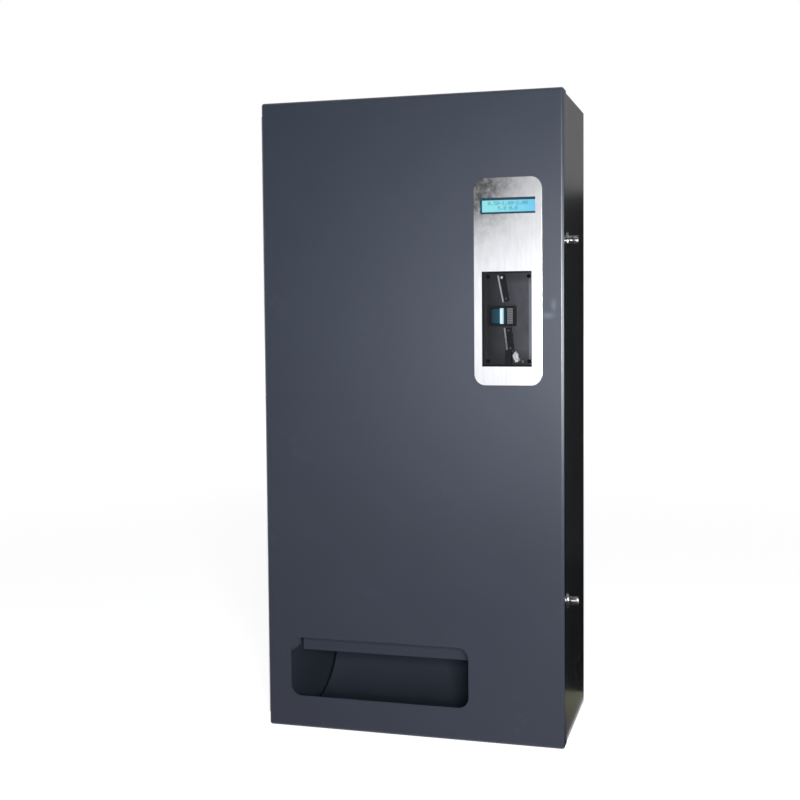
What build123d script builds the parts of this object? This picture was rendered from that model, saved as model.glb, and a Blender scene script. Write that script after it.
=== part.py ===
from build123d import *
import os
from math import cos, pi, radians, sin, tan

os.makedirs("parts", exist_ok=True)

# Umbrella vending machine for a wall. X points right, Y points to the wall and Z points up.
# The origin is the middle of the base, half way from the door's face to the wall.

# Cabinet
body_width = 554.0
body_height = 1166.0
body_depth = 270.0
wall = 1.5
body_bend = 2.0
jamb_width = 18.0
rest_gap = 0.3

# Door pan
door_side_overlap = 3.0
door_top_overlap = 4.0
door_depth = 28.0
door_sheet = 2.0
door_bend = 5.0
door_gap = 2.0
ground_gap = 2.0

# Delivery opening in the door
opening_margin = 7.0
opening_height = 111.0
opening_corner = 20.0
opening_shift = 2.5
opening_sill = 62.5

# Fascia plate and its windows
fascia_width = 121.5
fascia_height = 367.0
fascia_corner = 20.0
fascia_sheet = 2.0
fascia_edge = 0.5
fascia_from_side = 96.0
fascia_from_top = 331.5
coin_window_width = 89.0
coin_window_height = 168.5
coin_window_from_foot = 117.9
coin_window_shift = 2.0
display_window_width = 98.5
display_window_height = 28.5
display_window_from_head = 49.7
stud_radius = 2.0
stud_length = 12.0
stud_clearance = 0.3
stud_edge = 9.0
nut_across = 7.0
nut_height = 3.2
nut_clearance = 0.05

# Display
lens_rim = 2.4
lens_thickness = 1.6
lens_fit = 0.3
bezel_gap = 0.3
bezel_depth = 7.0
bezel_lip = 3.0
bezel_lip_depth = 1.0
display_board_width = 120.0
display_board_height = 46.0
display_board_thickness = 1.6
pillar_radius = 2.5
pillar_edge = 4.0

# Coin panel, a tray behind the coin window
coin_recess = 15.0
coin_panel_sheet = 2.0
coin_panel_rim = 1.6
coin_panel_fit = 0.3
coin_panel_flange = 8.0
coin_panel_flange_sheet = 1.5
coin_screw_radius = 1.5
coin_screw_head_radius = 3.6
coin_screw_head = 2.2
coin_screw_length = 8.0
coin_screw_clearance = 0.2
coin_screw_across = 74.0
coin_screw_up = 151.0
stop_peg_radius = 2.0
stop_peg_height = 11.0
stop_peg_across = 27.7
stop_peg_drop = 75.2

# Slanted coin guides
guide_height = 9.0
guide_edge = 0.8
strip_width = 3.0
strip_stand = 1.0
upper_guide_across = 6.2
upper_guide_rise = 54.7
upper_guide_length = 48.0
upper_guide_width = 9.0
upper_guide_tilt = 11.0
lower_guide_across = 3.6
lower_guide_drop = 36.0
lower_guide_length = 41.5
lower_guide_width = 10.0
lower_guide_tilt = 6.5
lower_strip_length = 38.8
guide_foot_width = 10.5
guide_foot_height = 26.0
guide_foot_across = 1.6
guide_foot_drop = 81.1
guide_screw_radius = 1.0
guide_screw_head_radius = 1.9
guide_screw_head = 1.2
guide_screw_length = 6.0
guide_screw_clearance = 0.1
guide_screw_inset = 5.0

# Coin head with entry lens and reject button
head_across = 9.6
head_rise = 5.3
head_width = 49.0
head_height = 36.0
head_depth = 12.0
head_corner = 2.0
head_frame = 4.0
lens_pocket_width = 28.0
entry_fit = 0.15
entry_stand = 1.5
entry_slot_width = 3.4
entry_slot_height = 23.0
entry_slot_from_right = 7.5
button_width = 11.0
button_fit = 0.35
button_travel = 3.0
button_stand = 2.5
button_rib_count = 6
button_rib_depth = 0.8
button_corner = 0.6

# Return lever
lever_pivot_across = 17.2
lever_pivot_drop = 71.6
lever_hub_radius = 4.5
lever_hub_height = 9.4
lever_pin_radius = 2.0
lever_pin_clearance = 0.08
lever_pin_length = 7.0
knob_width = 12.4
knob_height = 5.0
knob_foot_width = 5.8
knob_foot_drop = 11.3
knob_shoulder_rise = 2.3
knob_peak_rise = 9.7
knob_peak_across = 2.4
knob_facet = 1.6
knob_tilt = 11.0
knob_reach = 6.0
knob_across = 1.3
knob_groove_width = 1.4
knob_groove_length = 12.0
knob_groove_drop = 3.0
knob_groove_depth = 1.0

# Coin validator
validator_width = 88.0
validator_height = 160.0
validator_depth = 52.0
validator_step = 14.0
validator_step_height = 46.0
validator_edge = 2.0
validator_outlet_width = 40.0
validator_outlet_depth = 24.0
validator_outlet_height = 20.0

# Door stiffeners and catches
stiffener_width = 25.0
stiffener_depth = 16.0
stiffener_sheet = 1.2
stiffener_base_z = 240.0
stiffener_from_top = 30.0
left_stiffener_inset = 86.0
right_stiffener_inset = 52.0
cross_stiffener_z = 212.0
cross_stiffener_left_margin = 15.0
cross_stiffener_right_inset = 12.0
catch_sheet = 2.0
catch_width = 14.0
catch_foot = 22.0
catch_drop = 31.0
catch_gap = 3.0

# Locks in the right side
lock_spacing_from_end = 258.0
lock_from_front = 60.0
barrel_radius = 8.5
barrel_out = 20.0
barrel_in = 26.0
barrel_chamfer = 1.2
barrel_hole_clearance = 0.2
collar_radius = 14.0
collar_thickness = 3.5
collar_chamfer = 1.2
lock_nut_across = 24.0
lock_nut_height = 6.0
lock_nut_clearance = 0.05
plug_radius = 5.5
plug_clearance = 0.05
plug_tail = 4.0
plug_tail_square = 6.0
plug_recess = 0.8
key_slot_width = 2.0
key_slot_height = 8.0
key_slot_depth = 6.0
cam_thickness = 2.5
cam_width = 14.0
cam_length = 38.0
cam_nose_clearance = 4.0
cam_fit = 0.05
cam_gap = 0.3

# Piano hinge on the left
hinge_knuckle_radius = 3.0
hinge_pin_radius = 1.4
hinge_pin_clearance = 0.06
hinge_leaf = 1.2
hinge_out = 0.4
hinge_end_margin = 24.0
hinge_segment_count = 14
hinge_segment_gap = 0.6
hinge_leaf_width = 24.0
hinge_straight = 5.0
hinge_joggle = 5.0
hinge_pin_end = 2.0

# Wall bolts
wall_bolt_from_side = 77.0
wall_bolt_from_end = 133.0
wall_bolt_radius = 5.0
wall_plate_size = 60.0
wall_plate_thickness = 3.0

# Magazine
magazine_left_margin = 41.0
coin_bay_width = 165.0
magazine_sheet = 1.5
magazine_front_gap = 10.0
magazine_top_gap = 46.0
nose_front_gap = 2.0
nose_top_z = 195.0
cover_base_z = 330.0
umbrella_room = 66.0

# Ramps and hopper
ramp_count = 5
ramp_sheet = 1.2
ramp_first_z = 412.0
ramp_head_room = 58.0
ramp_slope = 12.0
ramp_tab = 12.0
ramp_wall_gap = 2.5
hopper_slope = 20.0
hopper_base_z = 318.0
hopper_room = 68.0

# Dispensing drum
drum_from_back = 130.0
drum_z = 250.0
drum_radius = 58.0
drum_sheet = 1.5
drum_disc_radius = 60.0
drum_disc = 3.0
drum_side_gap = 2.0
drum_pocket_radius = 31.0
axle_radius = 6.0
axle_inner = 20.0
axle_fit = 0.02
bush_radius = 9.0
bush_flange_radius = 12.0
bush_flange = 2.0
bush_clearance = 0.06
bush_fit = 0.02
bush_overhang = 1.0

# Gears
gear_module = 1.5
gear_teeth = 40
pinion_teeth = 12
gear_width = 8.0
gear_gap = 2.0
gear_hub_radius = 11.0
gear_hub_length = 4.0
tooth_share = 0.82
tooth_top_share = 0.8
tooth_root_share = 1.2
tooth_flank = 20.0
gear_hole_count = 5
gear_hole_radius = 5.0
gear_hole_ring_radius = 19.0

# Gear motor and its bracket
motor_radius = 18.5
motor_gearbox = 26.0
motor_can_radius = 16.0
motor_can = 34.0
motor_chamfer = 1.5
motor_shaft_radius = 3.0
motor_shaft_depth = 8.0
motor_shaft_clearance = 0.05
motor_hole_clearance = 0.5
bracket_sheet = 1.5
bracket_stand = 15.0
bracket_half = 34.0
bracket_foot = 14.0
bracket_width = 44.0

# Delivery scoop and guard
scoop_sheet = 1.5
scoop_radius = 134.0
scoop_back_gap = 6.5
scoop_floor_z = 12.0
scoop_front_gap = 4.0
scoop_top_z = 200.0
scoop_side_gap = 3.0
guard_from_front = 32.0
guard_base_z = 134.0
guard_top_z = 226.0
guard_left_gap = 4.0
guard_sheet = 1.5
guard_fold = 14.0

# Coin chute
chute_sheet = 1.2
chute_mouth_width = 64.0
chute_mouth_depth = 48.0
chute_mouth_gap = 10.6
chute_mouth_from_front = 26.0
chute_funnel_height = 91.0
chute_width = 40.0
chute_depth = 36.0
chute_from_front = 58.0
chute_end_z = 212.0

# Cash box and shelf
cash_bay_margin = 35.0
cash_depth = 140.0
cash_height = 140.0
cash_sheet = 1.2
cash_corner = 4.0
cash_from_front = 35.0
cash_side_gap = 1.5
cash_handle_width = 60.0
cash_handle_out = 14.0
cash_handle_bar = 6.0
cash_handle_corner = 4.0
cash_handle_rise = 90.0
shelf_z = 58.0
shelf_sheet = 1.5
shelf_from_front = 28.0
shelf_depth = 160.0
shelf_flange = 15.0
shelf_rail = 8.0

# Electrics
board_width = 125.0
board_height = 180.0
board_thickness = 1.6
board_from_side = 82.0
board_z = 610.0
standoff_length = 10.0
standoff_radius = 3.0
board_edge = 6.0
relay_width = 16.0
relay_height = 20.0
relay_depth = 15.0
relay_pitch = 22.0
relay_count = 4
relay_drop = 50.0
terminal_width = 90.0
terminal_height = 10.0
terminal_depth = 9.0
terminal_rise = 70.0
chip_size = 24.0
chip_depth = 2.5
capacitor_radius = 6.0
capacitor_height = 18.0
capacitor_x_step = 20.0
capacitor_rise = 34.0
supply_width = 98.0
supply_height = 129.0
supply_depth = 38.0
supply_from_side = 95.0
supply_z = 400.0
supply_edge = 1.0
supply_slot_width = 3.0
supply_slot_length = 60.0
supply_slot_pitch = 8.0
supply_slot_count = 8
supply_slot_depth = 1.5
supply_terminal_height = 14.0
grommet_from_side = 77.0
grommet_from_back = 40.0
grommet_radius = 12.0
grommet_flange_radius = 16.0
grommet_flange = 2.0
grommet_bore = 6.0
grommet_fit = 0.1

# Places worked out from the sizes above
back_y = (door_depth + door_gap + body_depth) / 2
body_front_y = back_y - body_depth
door_front_y = -back_y
door_inner_y = door_front_y + door_sheet
door_back_y = door_front_y + door_depth
door_width = body_width + 2 * door_side_overlap
door_height = body_height + door_top_overlap - ground_gap
door_mid_z = ground_gap + door_height / 2
body_half = body_width / 2
inner_half = body_half - wall
inner_back_y = back_y - wall
magazine_left_x = magazine_left_margin - body_half
magazine_right_x = body_half - coin_bay_width
magazine_inner_width = magazine_right_x - magazine_left_x
magazine_front_y = body_front_y + magazine_front_gap
magazine_top_z = body_height - magazine_top_gap
ramp_pitch = (magazine_top_z - ramp_first_z - ramp_head_room) / ramp_count
opening_width = magazine_inner_width - opening_margin
opening_centre_x = (magazine_left_x + magazine_right_x) / 2 - opening_shift
bay_left_x = magazine_right_x + magazine_sheet
jamb_edge = body_half - jamb_width
door_half = door_width / 2
stiffener_left_x = magazine_left_x + left_stiffener_inset
stiffener_right_x = magazine_right_x - right_stiffener_inset
stiffener_top_z = ground_gap + door_height - stiffener_from_top
cross_stiffener_left_x = cross_stiffener_left_margin - door_half
cross_stiffener_right_x = magazine_right_x - cross_stiffener_right_inset
cross_stiffener_length = cross_stiffener_right_x - cross_stiffener_left_x
cross_stiffener_x = (cross_stiffener_left_x + cross_stiffener_right_x) / 2
wall_bolt_across = body_width - 2 * wall_bolt_from_side
wall_bolt_height = body_height - 2 * wall_bolt_from_end
hinge_x = -(door_half + hinge_out + hinge_knuckle_radius)
hinge_y = (door_back_y + body_front_y) / 2
hinge_base_z = ground_gap + hinge_end_margin
hinge_length = door_height - 2 * hinge_end_margin
hinge_top_z = hinge_base_z + hinge_length
hinge_segment = hinge_length / hinge_segment_count
leaf_edge = hinge_knuckle_radius + hinge_out
lock_y = door_front_y + lock_from_front
lock_heights = [lock_spacing_from_end, body_height - lock_spacing_from_end]
lock_places = [(lock_y, height) for height in lock_heights]
cam_x = body_half - barrel_in - cam_gap - cam_thickness
catch_left_x = cam_x + cam_thickness / 2 - catch_width / 2
catch_back_y = lock_y + cam_width / 2 + catch_gap + catch_sheet
fascia_x = body_half - fascia_from_side
fascia_z = body_height - fascia_from_top
coin_window_x = fascia_x - coin_window_shift
fascia_foot_z = fascia_z - fascia_height / 2
fascia_head_z = fascia_z + fascia_height / 2
coin_window_z = fascia_foot_z + coin_window_from_foot
display_window_z = fascia_head_z - display_window_from_head
between_windows_low = coin_window_z + coin_window_height / 2
between_windows_high = display_window_z - display_window_height / 2
display_cut_width = display_window_width + 2 * lens_rim
display_cut_height = display_window_height + 2 * lens_rim
stud_heights = [
    fascia_foot_z + stud_edge,
    (between_windows_low + between_windows_high) / 2,
    fascia_head_z - stud_edge,
]
stud_reach = fascia_width / 2 - stud_edge
stud_places = [(fascia_x + side * stud_reach, height) for side in (-1, 1) for height in stud_heights]
coin_tray_width = coin_window_width + 2 * coin_panel_rim + 2 * coin_panel_fit
coin_tray_height = coin_window_height + 2 * coin_panel_rim + 2 * coin_panel_fit
coin_cut_width = coin_tray_width + 2 * coin_panel_fit
coin_cut_height = coin_tray_height + 2 * coin_panel_fit
coin_floor_y = door_front_y + coin_recess
coin_screw_places = [
    (coin_window_x + side * coin_screw_across / 2, coin_window_z + end * coin_screw_up / 2)
    for side in (-1, 1)
    for end in (-1, 1)
]
stop_peg_x = coin_window_x + stop_peg_across
stop_peg_z = coin_window_z - stop_peg_drop
upper_guide_x = coin_window_x - upper_guide_across
upper_guide_z = coin_window_z + upper_guide_rise
lower_guide_x = coin_window_x + lower_guide_across
lower_guide_z = coin_window_z - lower_guide_drop
guide_foot_x = coin_window_x + guide_foot_across
guide_foot_base = coin_window_z - guide_foot_drop
head_x = coin_window_x - head_across
head_z = coin_window_z + head_rise
lever_pivot_x = coin_window_x + lever_pivot_across
lever_pivot_z = coin_window_z - lever_pivot_drop
head_pocket_low = head_z - head_height / 2 + head_frame
head_pocket_high = head_z + head_height / 2 - head_frame
lens_left = head_x - head_width / 2 + head_frame
lens_right = lens_left + lens_pocket_width
button_right = head_x + head_width / 2 - head_frame
button_left = button_right - button_width
button_front_y = coin_floor_y - head_depth - button_stand
lever_back_y = coin_floor_y - rest_gap
validator_front_y = coin_floor_y + coin_panel_sheet
validator_back_y = validator_front_y + validator_depth
validator_mid_y = (validator_front_y + validator_back_y) / 2
drum_y = back_y - drum_from_back
drum_left_x = magazine_left_x + drum_side_gap
drum_right_x = magazine_right_x - drum_side_gap
gear_left_x = bay_left_x + bush_flange + gear_gap
motor_y = drum_y + gear_module * (gear_teeth + pinion_teeth) / 2
motor_face_x = bay_left_x + bracket_stand + bracket_sheet
scoop_centre_y = inner_back_y - scoop_back_gap - scoop_radius
scoop_front_y = body_front_y + scoop_front_gap
guard_y = body_front_y + guard_from_front
chute_mouth_z = coin_window_z - coin_window_height / 2 - chute_mouth_gap
chute_mouth_y = body_front_y + chute_mouth_from_front
chute_throat_z = chute_mouth_z - chute_funnel_height
chute_y = body_front_y + chute_from_front
chute_left_x = bay_left_x
cash_width = coin_bay_width - cash_bay_margin
cash_front_y = body_front_y + cash_from_front
cash_left_x = bay_left_x + cash_side_gap
cash_right_x = cash_left_x + cash_width
cash_base_z = shelf_z + shelf_sheet + rest_gap
shelf_front_y = body_front_y + shelf_from_front
board_x = body_half - board_from_side
supply_x = body_half - supply_from_side
grommet_x = body_half - grommet_from_side
grommet_y = back_y - grommet_from_back
board_back_y = inner_back_y - standoff_length
board_front_y = board_back_y - board_thickness
supply_front_y = inner_back_y - supply_depth


def front_plane(depth):
    return Plane.XZ.offset(-depth)


def side_plane(across):
    return Plane.YZ.offset(across)


def level_plane(height):
    return Plane.XY.offset(height)


def tilted_plane(x, y, z, tilt):
    x_direction = (cos(radians(tilt)), 0, sin(radians(tilt)))
    return Plane(origin=(x, y, z), x_dir=x_direction, z_dir=(0, -1, 0))


def guide_screw_offsets(length):
    return [(0, side * (length / 2 - guide_screw_inset)) for side in (-1, 1)]


def guide_screw_points(x, z, length, tilt):
    reach = length / 2 - guide_screw_inset
    return [
        (x - side * reach * sin(radians(tilt)), z + side * reach * cos(radians(tilt)))
        for side in (-1, 1)
    ]


upper_guide_plane = tilted_plane(upper_guide_x, coin_floor_y, upper_guide_z, upper_guide_tilt)
lower_guide_plane = tilted_plane(lower_guide_x, coin_floor_y, lower_guide_z, lower_guide_tilt)
guide_screw_places = [
    *guide_screw_points(upper_guide_x, upper_guide_z, upper_guide_length, upper_guide_tilt),
    *guide_screw_points(lower_guide_x, lower_guide_z, lower_guide_length, lower_guide_tilt),
]
knob_x = lever_pivot_x - knob_reach * sin(radians(knob_tilt)) - knob_across
knob_z = lever_pivot_z + knob_reach * cos(radians(knob_tilt))
knob_plane = tilted_plane(knob_x, lever_back_y - lever_hub_height, knob_z, knob_tilt)
knob_front_plane = tilted_plane(knob_x, lever_back_y - lever_hub_height - knob_height, knob_z, knob_tilt)



def rectangle_between(left, low, right, high, mode=Mode.ADD):
    with Locations(((left + right) / 2, (low + high) / 2)):
        Rectangle(right - left, high - low, mode=mode)


def block(left, right, front, back, low, high, mode=Mode.ADD):
    with BuildSketch(level_plane(low)) as footprint:
        rectangle_between(left, front, right, back)
    extrude(footprint.sketch, amount=high - low, mode=mode)


# Cabinet back, with the wall bolt holes
with BuildPart() as cabinet_back:
    with BuildSketch(front_plane(back_y)):
        with Locations((0, body_height / 2)):
            Rectangle(body_width - 2 * wall, body_height - 2 * wall)
            with GridLocations(wall_bolt_across, wall_bolt_height, 2, 2):
                Circle(wall_bolt_radius, mode=Mode.SUBTRACT)
    extrude(amount=wall)
cabinet_back.part.label = "cabinet_back"
export_step(cabinet_back.part, "parts/cabinet_back.step")

# Reinforcing plates behind the wall bolts
with BuildPart() as wall_plates:
    with BuildSketch(front_plane(inner_back_y)):
        with Locations((0, body_height / 2)):
            with GridLocations(wall_bolt_across, wall_bolt_height, 2, 2):
                Rectangle(wall_plate_size, wall_plate_size)
                Circle(wall_bolt_radius, mode=Mode.SUBTRACT)
    extrude(amount=wall_plate_thickness)
wall_plates.part.label = "wall_plates"
export_step(wall_plates.part, "parts/wall_plates.step")

# Left side, folded inward along its front edge
with BuildPart() as cabinet_left_side:
    block(-body_half, -inner_half, body_front_y, back_y, 0, body_height)
    block(-inner_half, -jamb_edge, body_front_y, body_front_y + wall, wall, body_height - wall)
    fillet(cabinet_left_side.edges().filter_by(Axis.Z).group_by(Axis.Y)[0].sort_by(Axis.X)[0], body_bend)
cabinet_left_side.part.label = "cabinet_left_side"
export_step(cabinet_left_side.part, "parts/cabinet_left_side.step")

# Right side, the same with two holes for the locks
with BuildPart() as cabinet_right_side:
    block(inner_half, body_half, body_front_y, back_y, 0, body_height)
    block(jamb_edge, inner_half, body_front_y, body_front_y + wall, wall, body_height - wall)
    fillet(cabinet_right_side.edges().filter_by(Axis.Z).group_by(Axis.Y)[0].sort_by(Axis.X)[-1], body_bend)
    with BuildSketch(side_plane(inner_half)):
        with Locations(*[(lock_y, height) for height in lock_heights]):
            Circle(barrel_radius + barrel_hole_clearance)
    extrude(amount=wall, mode=Mode.SUBTRACT)
cabinet_right_side.part.label = "cabinet_right_side"
export_step(cabinet_right_side.part, "parts/cabinet_right_side.step")

# Top, folded down along its front edge
with BuildPart() as cabinet_top:
    block(-inner_half, inner_half, body_front_y, back_y, body_height - wall, body_height)
    block(-jamb_edge, jamb_edge, body_front_y, body_front_y + wall,
          body_height - jamb_width, body_height - wall)
cabinet_top.part.label = "cabinet_top"
export_step(cabinet_top.part, "parts/cabinet_top.step")

# Bottom, folded up along its front edge, with the cable entry
with BuildPart() as cabinet_bottom:
    block(-inner_half, inner_half, body_front_y, back_y, 0, wall)
    block(-jamb_edge, jamb_edge, body_front_y, body_front_y + wall, wall, jamb_width)
    with BuildSketch(level_plane(0)):
        with Locations((grommet_x, grommet_y)):
            Circle(grommet_radius)
    extrude(amount=wall, mode=Mode.SUBTRACT)
cabinet_bottom.part.label = "cabinet_bottom"
export_step(cabinet_bottom.part, "parts/cabinet_bottom.step")

# Rubber grommet, pushed in from inside and flush with the base
with BuildPart() as cable_grommet:
    with BuildSketch(level_plane(0)):
        with Locations((grommet_x, grommet_y)):
            Circle(grommet_radius - grommet_fit)
            Circle(grommet_bore, mode=Mode.SUBTRACT)
    extrude(amount=wall)
    with BuildSketch(level_plane(wall)):
        with Locations((grommet_x, grommet_y)):
            Circle(grommet_flange_radius)
            Circle(grommet_bore, mode=Mode.SUBTRACT)
    extrude(amount=grommet_flange)
cable_grommet.part.label = "cable_grommet"
export_step(cable_grommet.part, "parts/cable_grommet.step")


def add_knuckles(first, lug_back, lug_front):
    for index in range(first, hinge_segment_count, 2):
        with BuildSketch(level_plane(hinge_base_z + index * hinge_segment)) as knuckle:
            rectangle_between(-door_half - hinge_leaf, lug_back, -door_half, lug_front)
            with Locations((hinge_x, hinge_y)):
                Circle(hinge_knuckle_radius)
                Circle(hinge_pin_radius + hinge_pin_clearance, mode=Mode.SUBTRACT)
        extrude(knuckle.sketch, amount=hinge_segment - hinge_segment_gap)


# Hinge leaf on the door's folded edge
with BuildPart() as hinge_door_leaf:
    block(-door_half - hinge_leaf, -door_half, hinge_y - hinge_leaf_width, hinge_y - leaf_edge,
          hinge_base_z, hinge_top_z)
    add_knuckles(0, hinge_y - leaf_edge, hinge_y)
hinge_door_leaf.part.label = "hinge_door_leaf"
export_step(hinge_door_leaf.part, "parts/hinge_door_leaf.step")

# Hinge leaf on the cabinet, joggled inward on to its side
with BuildPart() as hinge_cabinet_leaf:
    with BuildSketch(level_plane(hinge_base_z)):
        with BuildLine():
            Polyline(
                (-door_half - hinge_leaf, hinge_y + leaf_edge),
                (-door_half - hinge_leaf, hinge_y + hinge_straight),
                (-body_half - hinge_leaf, hinge_y + hinge_straight + hinge_joggle),
                (-body_half - hinge_leaf, hinge_y + hinge_leaf_width),
            )
            offset(amount=hinge_leaf, side=Side.RIGHT)
        make_face()
    extrude(amount=hinge_length)
    add_knuckles(1, hinge_y, hinge_y + leaf_edge)
hinge_cabinet_leaf.part.label = "hinge_cabinet_leaf"
export_step(hinge_cabinet_leaf.part, "parts/hinge_cabinet_leaf.step")

# Hinge pin
with BuildPart() as hinge_pin:
    with BuildSketch(level_plane(hinge_base_z - hinge_pin_end)):
        with Locations((hinge_x, hinge_y)):
            Circle(hinge_pin_radius)
    extrude(amount=hinge_length + 2 * hinge_pin_end)
hinge_pin.part.label = "hinge_pin"
export_step(hinge_pin.part, "parts/hinge_pin.step")

# Space inside the door pan, rounded like its outside
with BuildPart() as door_hollow:
    with BuildSketch(front_plane(door_inner_y)):
        with Locations((0, door_mid_z)):
            Rectangle(door_width - 2 * door_sheet, door_height - 2 * door_sheet)
    extrude(amount=-(door_depth - door_sheet))
    fillet(door_hollow.edges().filter_by(Axis.Y), door_bend - door_sheet)
    fillet(door_hollow.faces().sort_by(Axis.Y)[0].edges(), door_bend - door_sheet)

# Door, a folded pan with rounded corners
with BuildPart() as door_panel:
    with BuildSketch(front_plane(door_front_y)):
        with Locations((0, door_mid_z)):
            Rectangle(door_width, door_height)
    extrude(amount=-door_depth)
    fillet(door_panel.edges().filter_by(Axis.Y), door_bend)
    fillet(door_panel.faces().sort_by(Axis.Y)[0].edges(), door_bend)
    add(door_hollow.part, mode=Mode.SUBTRACT)
    with BuildSketch(front_plane(door_inner_y)):
        with Locations((opening_centre_x, opening_sill + opening_height / 2)):
            RectangleRounded(opening_width, opening_height, opening_corner)
        with Locations((fascia_x, display_window_z)):
            Rectangle(display_cut_width, display_cut_height)
        with Locations((coin_window_x, coin_window_z)):
            Rectangle(coin_cut_width, coin_cut_height)
        with Locations(*stud_places):
            Circle(stud_radius + stud_clearance)
    extrude(amount=door_sheet, mode=Mode.SUBTRACT)
door_panel.part.label = "door_panel"
export_step(door_panel.part, "parts/door_panel.step")


def add_channel(left, right, low, high):
    block(left, right, door_inner_y, door_inner_y + stiffener_depth, low, high)


def hollow_upright(left, right, low, high):
    block(left + stiffener_sheet, right - stiffener_sheet, door_inner_y,
          door_inner_y + stiffener_depth - stiffener_sheet, low, high, mode=Mode.SUBTRACT)


# Channel stiffeners behind the door, two upright and one across
with BuildPart() as door_stiffeners:
    for centre_x in (stiffener_left_x, stiffener_right_x):
        channel_left = centre_x - stiffener_width / 2
        channel_right = centre_x + stiffener_width / 2
        add_channel(channel_left, channel_right, stiffener_base_z, stiffener_top_z)
        hollow_upright(channel_left, channel_right, stiffener_base_z, stiffener_top_z)
    cross_left = cross_stiffener_x - cross_stiffener_length / 2
    cross_right = cross_stiffener_x + cross_stiffener_length / 2
    cross_low = cross_stiffener_z - stiffener_width / 2
    cross_high = cross_stiffener_z + stiffener_width / 2
    add_channel(cross_left, cross_right, cross_low, cross_high)
    block(cross_left, cross_right, door_inner_y, door_inner_y + stiffener_depth - stiffener_sheet,
          cross_low + stiffener_sheet, cross_high - stiffener_sheet, mode=Mode.SUBTRACT)
door_stiffeners.part.label = "door_stiffeners"
export_step(door_stiffeners.part, "parts/door_stiffeners.step")

# Catches on the door, hooks that hang down behind the lock cams
with BuildPart() as door_catches:
    for height in lock_heights:
        catch_low = height + cam_length + cam_nose_clearance
        with BuildSketch(side_plane(catch_left_x)):
            rectangle_between(door_inner_y, catch_low, door_inner_y + catch_sheet,
                              catch_low + catch_sheet + catch_foot)
            rectangle_between(door_inner_y, catch_low, catch_back_y, catch_low + catch_sheet)
            rectangle_between(catch_back_y - catch_sheet, catch_low - catch_drop, catch_back_y,
                              catch_low + catch_sheet)
        extrude(amount=catch_width)
door_catches.part.label = "door_catches"
export_step(door_catches.part, "parts/door_catches.step")

# Fascia plate with its two windows and the studs welded to its back
with BuildPart() as fascia_plate:
    with BuildSketch(front_plane(door_front_y)):
        with Locations((fascia_x, fascia_z)):
            RectangleRounded(fascia_width, fascia_height, fascia_corner)
    extrude(amount=fascia_sheet)
    fillet(fascia_plate.faces().sort_by(Axis.Y)[0].edges(), fascia_edge)
    with BuildSketch(front_plane(door_front_y)):
        with Locations((fascia_x, display_window_z)):
            Rectangle(display_window_width, display_window_height)
        with Locations((coin_window_x, coin_window_z)):
            Rectangle(coin_window_width, coin_window_height)
    extrude(amount=fascia_sheet, mode=Mode.SUBTRACT)
    with BuildSketch(front_plane(door_front_y)):
        with Locations(*stud_places):
            Circle(stud_radius)
    extrude(amount=-stud_length)
fascia_plate.part.label = "fascia_plate"
export_step(fascia_plate.part, "parts/fascia_plate.step")

# Nuts that hold the fascia from behind the door
with BuildPart() as fascia_nuts:
    with BuildSketch(front_plane(door_inner_y)):
        with Locations(*stud_places):
            RegularPolygon(nut_across / 2, 6, major_radius=False)
            Circle(stud_radius + nut_clearance, mode=Mode.SUBTRACT)
    extrude(amount=-nut_height)
fascia_nuts.part.label = "fascia_nuts"
export_step(fascia_nuts.part, "parts/fascia_nuts.step")

# Clear window of the display
with BuildPart() as display_lens:
    with BuildSketch(front_plane(door_front_y)):
        with Locations((fascia_x, display_window_z)):
            Rectangle(display_cut_width - 2 * lens_fit, display_cut_height - 2 * lens_fit)
    extrude(amount=-lens_thickness)
display_lens.part.label = "display_lens"
export_step(display_lens.part, "parts/display_lens.step")

# Display, a bezelled screen on its circuit board with four pillars
with BuildPart() as display_module:
    bezel_front_y = door_front_y + lens_thickness + bezel_gap
    bezel_back_y = bezel_front_y + bezel_depth
    with BuildSketch(front_plane(bezel_front_y)):
        with Locations((fascia_x, display_window_z)):
            Rectangle(display_cut_width - 2 * lens_fit, display_cut_height - 2 * lens_fit)
    extrude(amount=-bezel_depth)
    with BuildSketch(front_plane(bezel_front_y)):
        with Locations((fascia_x, display_window_z)):
            Rectangle(display_cut_width - 2 * bezel_lip, display_cut_height - 2 * bezel_lip)
    extrude(amount=-bezel_lip_depth, mode=Mode.SUBTRACT)
    with BuildSketch(front_plane(bezel_back_y)):
        with Locations((fascia_x, display_window_z)):
            Rectangle(display_board_width, display_board_height)
    extrude(amount=-display_board_thickness)
    with BuildSketch(front_plane(bezel_back_y)):
        with Locations((fascia_x, display_window_z)):
            with GridLocations(display_board_width - 2 * pillar_edge,
                               display_board_height - 2 * pillar_edge, 2, 2):
                Circle(pillar_radius)
    extrude(amount=bezel_back_y - door_inner_y)
display_module.part.label = "display_module"
export_step(display_module.part, "parts/display_module.step")

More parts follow.
